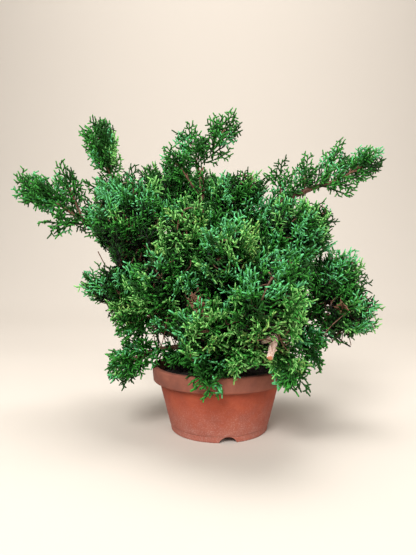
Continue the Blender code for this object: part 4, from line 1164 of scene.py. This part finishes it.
def open_growth(mass):
    """Wood and sprays of an open mass: sprays in turn left and right, and one that ends each line.

    They lie roughly in the plane in which the limb spreads. Wood ends a little past the root of the
    spray that ends it.
    """
    rng = mass.random
    lines, side = open_lines(mass)
    pitch = PITCHES.get(mass.name, OPEN_PITCH)
    wood, seats = [], []
    for kind, line, first in lines:
        length = length_of(line)
        last = max(1 - ENDING_SPRAY * rng.uniform(0.85, 1.1) / length, first + 0.05)
        count = max(round(length * (last - first) / pitch), 0)
        shares = [*(first + (last - first) * (np.arange(count) + 0.3) / max(count, 1)), last]
        wood.append((kind, before_gap(smooth_line(line, 40)[:max(int(40 * (last + 0.04)), 4)])))
        for share in shares:
            side = -side
            axis, root = heading(line, share), along(line, share)
            lean = OPEN_ANGLE * rng.uniform(0.75, 1.2) if share < last else 0.05
            ahead, across = turned_out(axis, side, rng.normal(0, 0.6), lean)
            ahead = unit(ahead + np.array([0, 0, 0.08]))
            most = rng.uniform(0.72, 0.92) if share < last else rng.uniform(0.95, 1.10)
            reach = min(mass.room_ahead(root, ahead) * most, SPRAY_LENGTHS[-1] * rng.uniform(0.75, 1.0))
            if reach > SHORTEST_SPRAY and mass.has_room((root + reach * ahead)[None], OPEN_PAST)[0]:
                seats.append(open_seat(root, ahead, across, reach, rng))
    return wood, [seat for seat in seats if stays(seat)]


def limb_seats(limbs):
    """Short sprays straight on the limbs, round them by the golden angle, ahead and upwards."""
    rng = np.random.default_rng(17)
    seats = []
    for name, (first, pull) in LIMB_SPRAYS.items():
        line = smooth_line(limbs[name][0], 40)
        count = round(length_of(line) * (1 - first) / LIMB_PITCH)
        for index in range(count):
            share = first + (1 - first) * (index + 0.5) / count
            axis, root = heading(line, share), along(line, share)
            lean = math.radians(rng.uniform(*LIMB_ANGLES))
            ahead, across = turned_out(axis, 1, index * GOLDEN_ANGLE, lean)
            ahead = unit(ahead + np.array(pull))
            reach = rng.uniform(*LIMB_LENGTHS) * MM
            seats.append(open_seat(root, ahead, across, reach, rng))
    return seats


def soil_seats():
    """Sprays that lie over the soil at the front left, fanned out from the foot of the trunk."""
    rng = np.random.default_rng(23)
    fan_start, fan_width = SOIL_FAN
    seats = []
    for index in range(SOIL_SPRAYS):
        turn = math.radians(fan_start + fan_width * (index * 0.618 % 1))
        out = np.array([math.cos(turn), math.sin(turn), 0.0])
        tip = rng.uniform(*SOIL_REACHES) * MM * out + np.array([0, 0, rng.uniform(*SOIL_HEIGHTS) * MM])
        length = rng.uniform(*SOIL_LENGTHS) * MM
        ahead = unit(out + rng.normal((0, 0, -0.12), (0.25, 0.25, 0.08)))
        facing = np.array([rng.normal(0, 0.4), -0.5, 1.0])
        seats.append((tip - length * ahead, ahead, facing, length, OPEN))
    return seats


def low_twigs(line):
    """Thin bare twigs that rise from the lowest left bough into the crown, in turn to both sides."""
    rng = np.random.default_rng(29)
    twigs = []
    for index in range(LOW_TWIGS):
        root = along(line, (index + 0.5) / LOW_TWIGS)
        end = root + rng.uniform(*LOW_TWIG_STEPS) * MM
        twigs.append(branch_line(root, end, np.array([-0.3, -0.6, 1.0]), 4))
    return twigs


def hides_stub(points):
    """True where points lie in front of the cut stub, which stands clear of the foliage."""
    line = STUB_LINE[2:, ::2] + (0, STUB_LIFT)
    nearest = distance_to_line(points[:, ::2], line, np.zeros(len(line)))
    return (nearest < STUB_VIEW) & (points[:, 1] < STUB_LINE[1, 1])


def hides_rim(points):
    """True where points hang in front of the stretch of rim that stays bare."""
    x, y, z = points.T
    low, high, top = BARE_RIM
    return (x > low) & (x < high) & (z < top) & (y < -BODY_FOOT_RADIUS)


def fills_gap(points):
    """True where points, seen from the front, lie in a gap that shows the wall."""
    seen = points[:, ::2] - (0, EYE_HEIGHT)
    seen = seen * EYE_DISTANCE / (EYE_DISTANCE + points[:, 1:2]) + (0, EYE_HEIGHT)
    away = np.linalg.norm(seen[:, None] - SKY_GAPS[:, :2], axis=2)
    return (away < SKY_GAPS[:, 2] + GAP_MARGIN).any(axis=1)


def stays(seat):
    """True for a spray that neither hides the stub or the bare rim nor fills a gap."""
    root, ahead, _, length, _ = seat
    spread = root + np.linspace(0.2, 1, 5)[:, None] * length * ahead
    return not (hides_stub(spread).any() or hides_rim(spread).any() or fills_gap(spread[2:]).any())


def before_gap(line):
    """The part of a fine line that comes before the first gap."""
    inside = np.nonzero(fills_gap(line))[0]
    return line[:max(inside[0], 4)] if len(inside) else line


def lies_in(point, places):
    """True for a point in one of the places, each given with its radius."""
    return (np.linalg.norm(point - places[:, :3], axis=1) < places[:, 3]).any()


def place_sprays(seats, rng, tone="plain"):
    """Sprays in their seats, each with its own axes, bend, template and tints, by seeded chance."""
    sprays = []
    for root, ahead, facing, length, layer in seats:
        across = unit(np.cross(facing, ahead))
        axes = np.column_stack([ahead, across, np.cross(ahead, across)])
        chance = rng.uniform()
        middle = root + 0.7 * length * ahead
        if chance > DEAD_SHARE and lies_in(middle, DEAD_PLACES):
            continue
        tints = tints_of(layer, chance, middle, tone)
        sprays.append((root, axes, length, layer, rng.uniform(*SPRAY_DROOP),
                       rng.uniform(*SPRAY_SWAY), rng.integers(0, 1000), tints))
    return sprays


def tints_of(layer, chance, middle, tone):
    """Tints of a spray's axis, of its side axes and of their shoots, from its place and a chance."""
    if lies_in(middle, DEAD_PLACES):
        recipe = "dead"
    elif chance < FRESH_SHARE and lies_in(middle, FRESH_PLACES):
        recipe = "fresh"
    # Sprays inside a mass and between its layers take the near-black inner tint: painted shade
    elif layer == INSIDE:
        recipe = "inside"
    elif layer == BETWEEN and tone != "warm":
        recipe = "between"
    elif layer == OPEN and tone != "warm" and chance > BRIGHT_OPEN_SHARE:
        recipe = "open"
    else:
        recipe = tone
    return next(tints for below, tints in RECIPES[recipe] if chance < below).split()


def foliage_shoots(sprays):
    """All shoots of all sprays in place, as foot, tip and radius, under the tint each one takes."""
    templates = {(inside, size, index):
                 spray_template(f"{name} {index} of {size:.3f}", size, not inside)
                 for inside, name in ((False, "spray"), (True, "inner spray"))
                 for size in SPRAY_LENGTHS for index in range(SPRAYS_OF_A_LENGTH)}
    by_tint = {tint: [] for tint in TINTS}
    for root, axes, length, layer, droop, sway, pick, tints in sprays:
        size = SPRAY_LENGTHS[np.argmin(np.abs(SPRAY_LENGTHS - length))]
        rows = templates[layer == INSIDE, size, pick % SPRAYS_OF_A_LENGTH]
        ends = length / size * rows[:, :6].reshape(-1, 2, 3)
        ends[..., 2] += droop * ends[..., 0] ** 2 / length
        ends[..., 1] += sway * ends[..., 0] ** 2 / length
        placed = root + ends @ axes.T
        radius = SHOOT_RADIUS * rows[:, 6] * THICKER.get(layer, 1.0)
        # Axis, side axes and shoots each take their own tint; the darker axes are partly the darker
        # older foliage and partly painted shade
        for youth, tint in enumerate(tints):
            some = rows[:, 7] == youth
            by_tint[tint].append(np.column_stack([placed[some].reshape(-1, 6), radius[some]]))
    return {tint: np.vstack(rows) for tint, rows in by_tint.items() if rows}


def shoot_mesh(rows):
    """Points and triangles of shoots: a ring at the foot, one near the tip, and a pointed end.

    Each shoot is three-sided and as thick at its second ring as at its first. The second lies a
    little to the side, so that the shoot curves.
    """
    foot, tip, radius = rows[:, None, :3], rows[:, None, 3:6], rows[:, None, 6:]
    way = tip - foot
    length = np.linalg.norm(way, axis=-1, keepdims=True)
    ring, other = ring_ways((way / length)[:, 0], (way / length)[:, 0], 3)
    middle = foot + SHOOT_BEND_PLACE * way + 0.02 * length * other[:, None]
    points = np.concatenate([foot + radius * ring, middle + radius * ring, tip], 1).reshape(-1, 3)
    k = np.arange(3)
    after = (k + 1) % 3
    tris = np.vstack([np.stack([k, after, after + 3], -1), np.stack([k, after + 3, k + 3], -1),
                      np.stack([k + 3, after + 3, np.full(3, 6)], -1), [[2, 1, 0]]])
    return points, repeated(tris, 7, len(rows))


def scale_leaf(tint):
    """Juniper scale leaf, grown: overlapping waxy scales about a millimetre long, half matt."""
    values = {"Roughness": 0.55, "IOR": 1.4, "Specular IOR Level": 0.3}
    material, tree, place = start_material(f"juniper_scale_leaf_{tint}", values)
    noise = add(tree, "TexNoise", {"Vector": place, "Scale": 1 / (9 * MM), "Detail": 3.0})
    vary = add(tree, "MapRange", {"Value": noise, "From Min": 0.3, "From Max": 0.7, "To Min": 0.6,
                                  "To Max": 1.35})
    colour = add(tree, "HueSaturation", {"Color": linear(TINTS[tint]), "Value": vary})
    scales = add(tree, "TexVoronoi", {"Vector": place, "Scale": 1 / (1.1 * MM)})
    return finish_material(material, colour, scales, 0.5, 0.2 * MM)


def build_foliage(limbs, twig_bark):
    """Grow every mass, and join its shoots by tint and its twigs by thickness into pieces."""
    masses = [Mass(name, plan, limbs) for name, plan in MASSES.items()]
    twigs = {kind: [] for kind in WOOD}
    seats = [seat for seat in limb_seats(limbs) + soil_seats() if stays(seat)]
    sprays = place_sprays(seats, np.random.default_rng(5))
    for mass in masses:
        mass.others = [other for other in masses if other is not mass]
        wood, seats = dense_growth(mass) if mass.dense else open_growth(mass)
        sprays += place_sprays(seats, mass.random, TONES.get(mass.name, "plain"))
        for kind, line in wood:
            twigs[kind].append(line)
    twigs["twigs"] += low_twigs(limbs["bough_left_low"][0])
    stand_for = list(MASSES)
    for tint, rows in foliage_shoots(sprays).items():
        material = scale_leaf(tint)
        parts = math.ceil(len(rows) * TRIANGLES_PER_SHOOT / PIECE_LIMIT)
        for part, some in enumerate(np.array_split(rows, parts)):
            make_piece(f"sprays_{tint}_{part + 1}", shoot_mesh(some), material, "foliage", stand_for)
            stand_for = []
    for kind, (thick, thin, sides, rows) in WOOD.items():
        lines = np.stack([smooth_line(line, rows) for line in twigs[kind]])
        tubes = tube_rings(lines, np.linspace(thick, thin, rows)[:, None], sides)
        make_piece(f"wood_{kind}", join_tubes(tubes), twig_bark, "bark")


# The studio

def aim_at(way):
    """Euler angles that turn an object's -Z towards a direction, with its +Y up."""
    return math.acos(-way[2] / np.linalg.norm(way)), 0, math.atan2(way[1], way[0]) - math.pi / 2


def build_studio():
    """A plain pale sheet of matt paper, the floor and then the backdrop, and soft lights."""
    values = {"Roughness": 0.95, "Base Color": linear("#c0b7ac")}
    paper, _, _ = start_material("studio_paper_matt", values)
    fine = smooth_line(BACKDROP, BACKDROP_ROWS)
    edges = [np.insert(fine, 0, x, axis=1) for x in (-BACKDROP_HALF, BACKDROP_HALF)]
    row = 2 * np.arange(BACKDROP_ROWS - 1)
    faces = np.stack([row, row + 1, row + 3, row + 2], -1)
    make_piece("studio_floor", (np.stack(edges, 1).reshape(-1, 3), [faces]), paper)
    world = bpy.data.worlds.new("studio_air")
    bpy.context.scene.world = world
    world.use_nodes = True
    air = world.node_tree.nodes["Background"].inputs
    air["Color"].default_value = linear("#f4efe8")
    air["Strength"].default_value = 0.20
    for name, (place, aim, size, power) in LIGHTS.items():
        light = bpy.data.lights.new(name, "AREA")
        light.shape = "DISK"
        light.size = size
        light.energy = power
        lamp = bpy.data.objects.new(name, light)
        lamp.location = place
        lamp.rotation_euler = aim_at(np.array(aim) - np.array(place))
        bpy.context.scene.collection.objects.link(lamp)


def build_camera():
    """The photograph's view: level, from in front, with its long side's angle of view."""
    camera = bpy.data.cameras.new("camera")
    camera.lens = FOCAL_PIXELS * SENSOR / LONG_SIDE_PIXELS
    camera.sensor_width = SENSOR
    holder = bpy.data.objects.new("camera", camera)
    holder.location = (0, -EYE_DISTANCE, EYE_HEIGHT)
    holder.rotation_euler = aim_at(np.array(LOOK))
    bpy.context.scene.collection.objects.link(holder)
    bpy.context.scene.camera = holder
    bpy.context.scene.view_settings.view_transform = "Standard"


limbs = plan_limbs()
bark = juniper_bark("juniper_bark_old", "#2a1a12", "#5c3c2b", "#8a6b58")
twig_bark = juniper_bark("juniper_bark_young", "#322015", "#5f3e2c", "#86604a")
stub_bark = juniper_bark("juniper_bark_peeled", "#8e6a5a", "#ceb1a1", "#e8d8cc")
build_camera()
build_studio()
build_pot()
build_soil()
build_trunk(limbs["trunk"][0], bark)
for index, name in enumerate(BOUGHS):
    build_bough(name, *limbs[name], 40 + index, bark)
build_stub(*limbs["cut_stub"], stub_bark, twig_bark)
build_foliage(limbs, twig_bark)
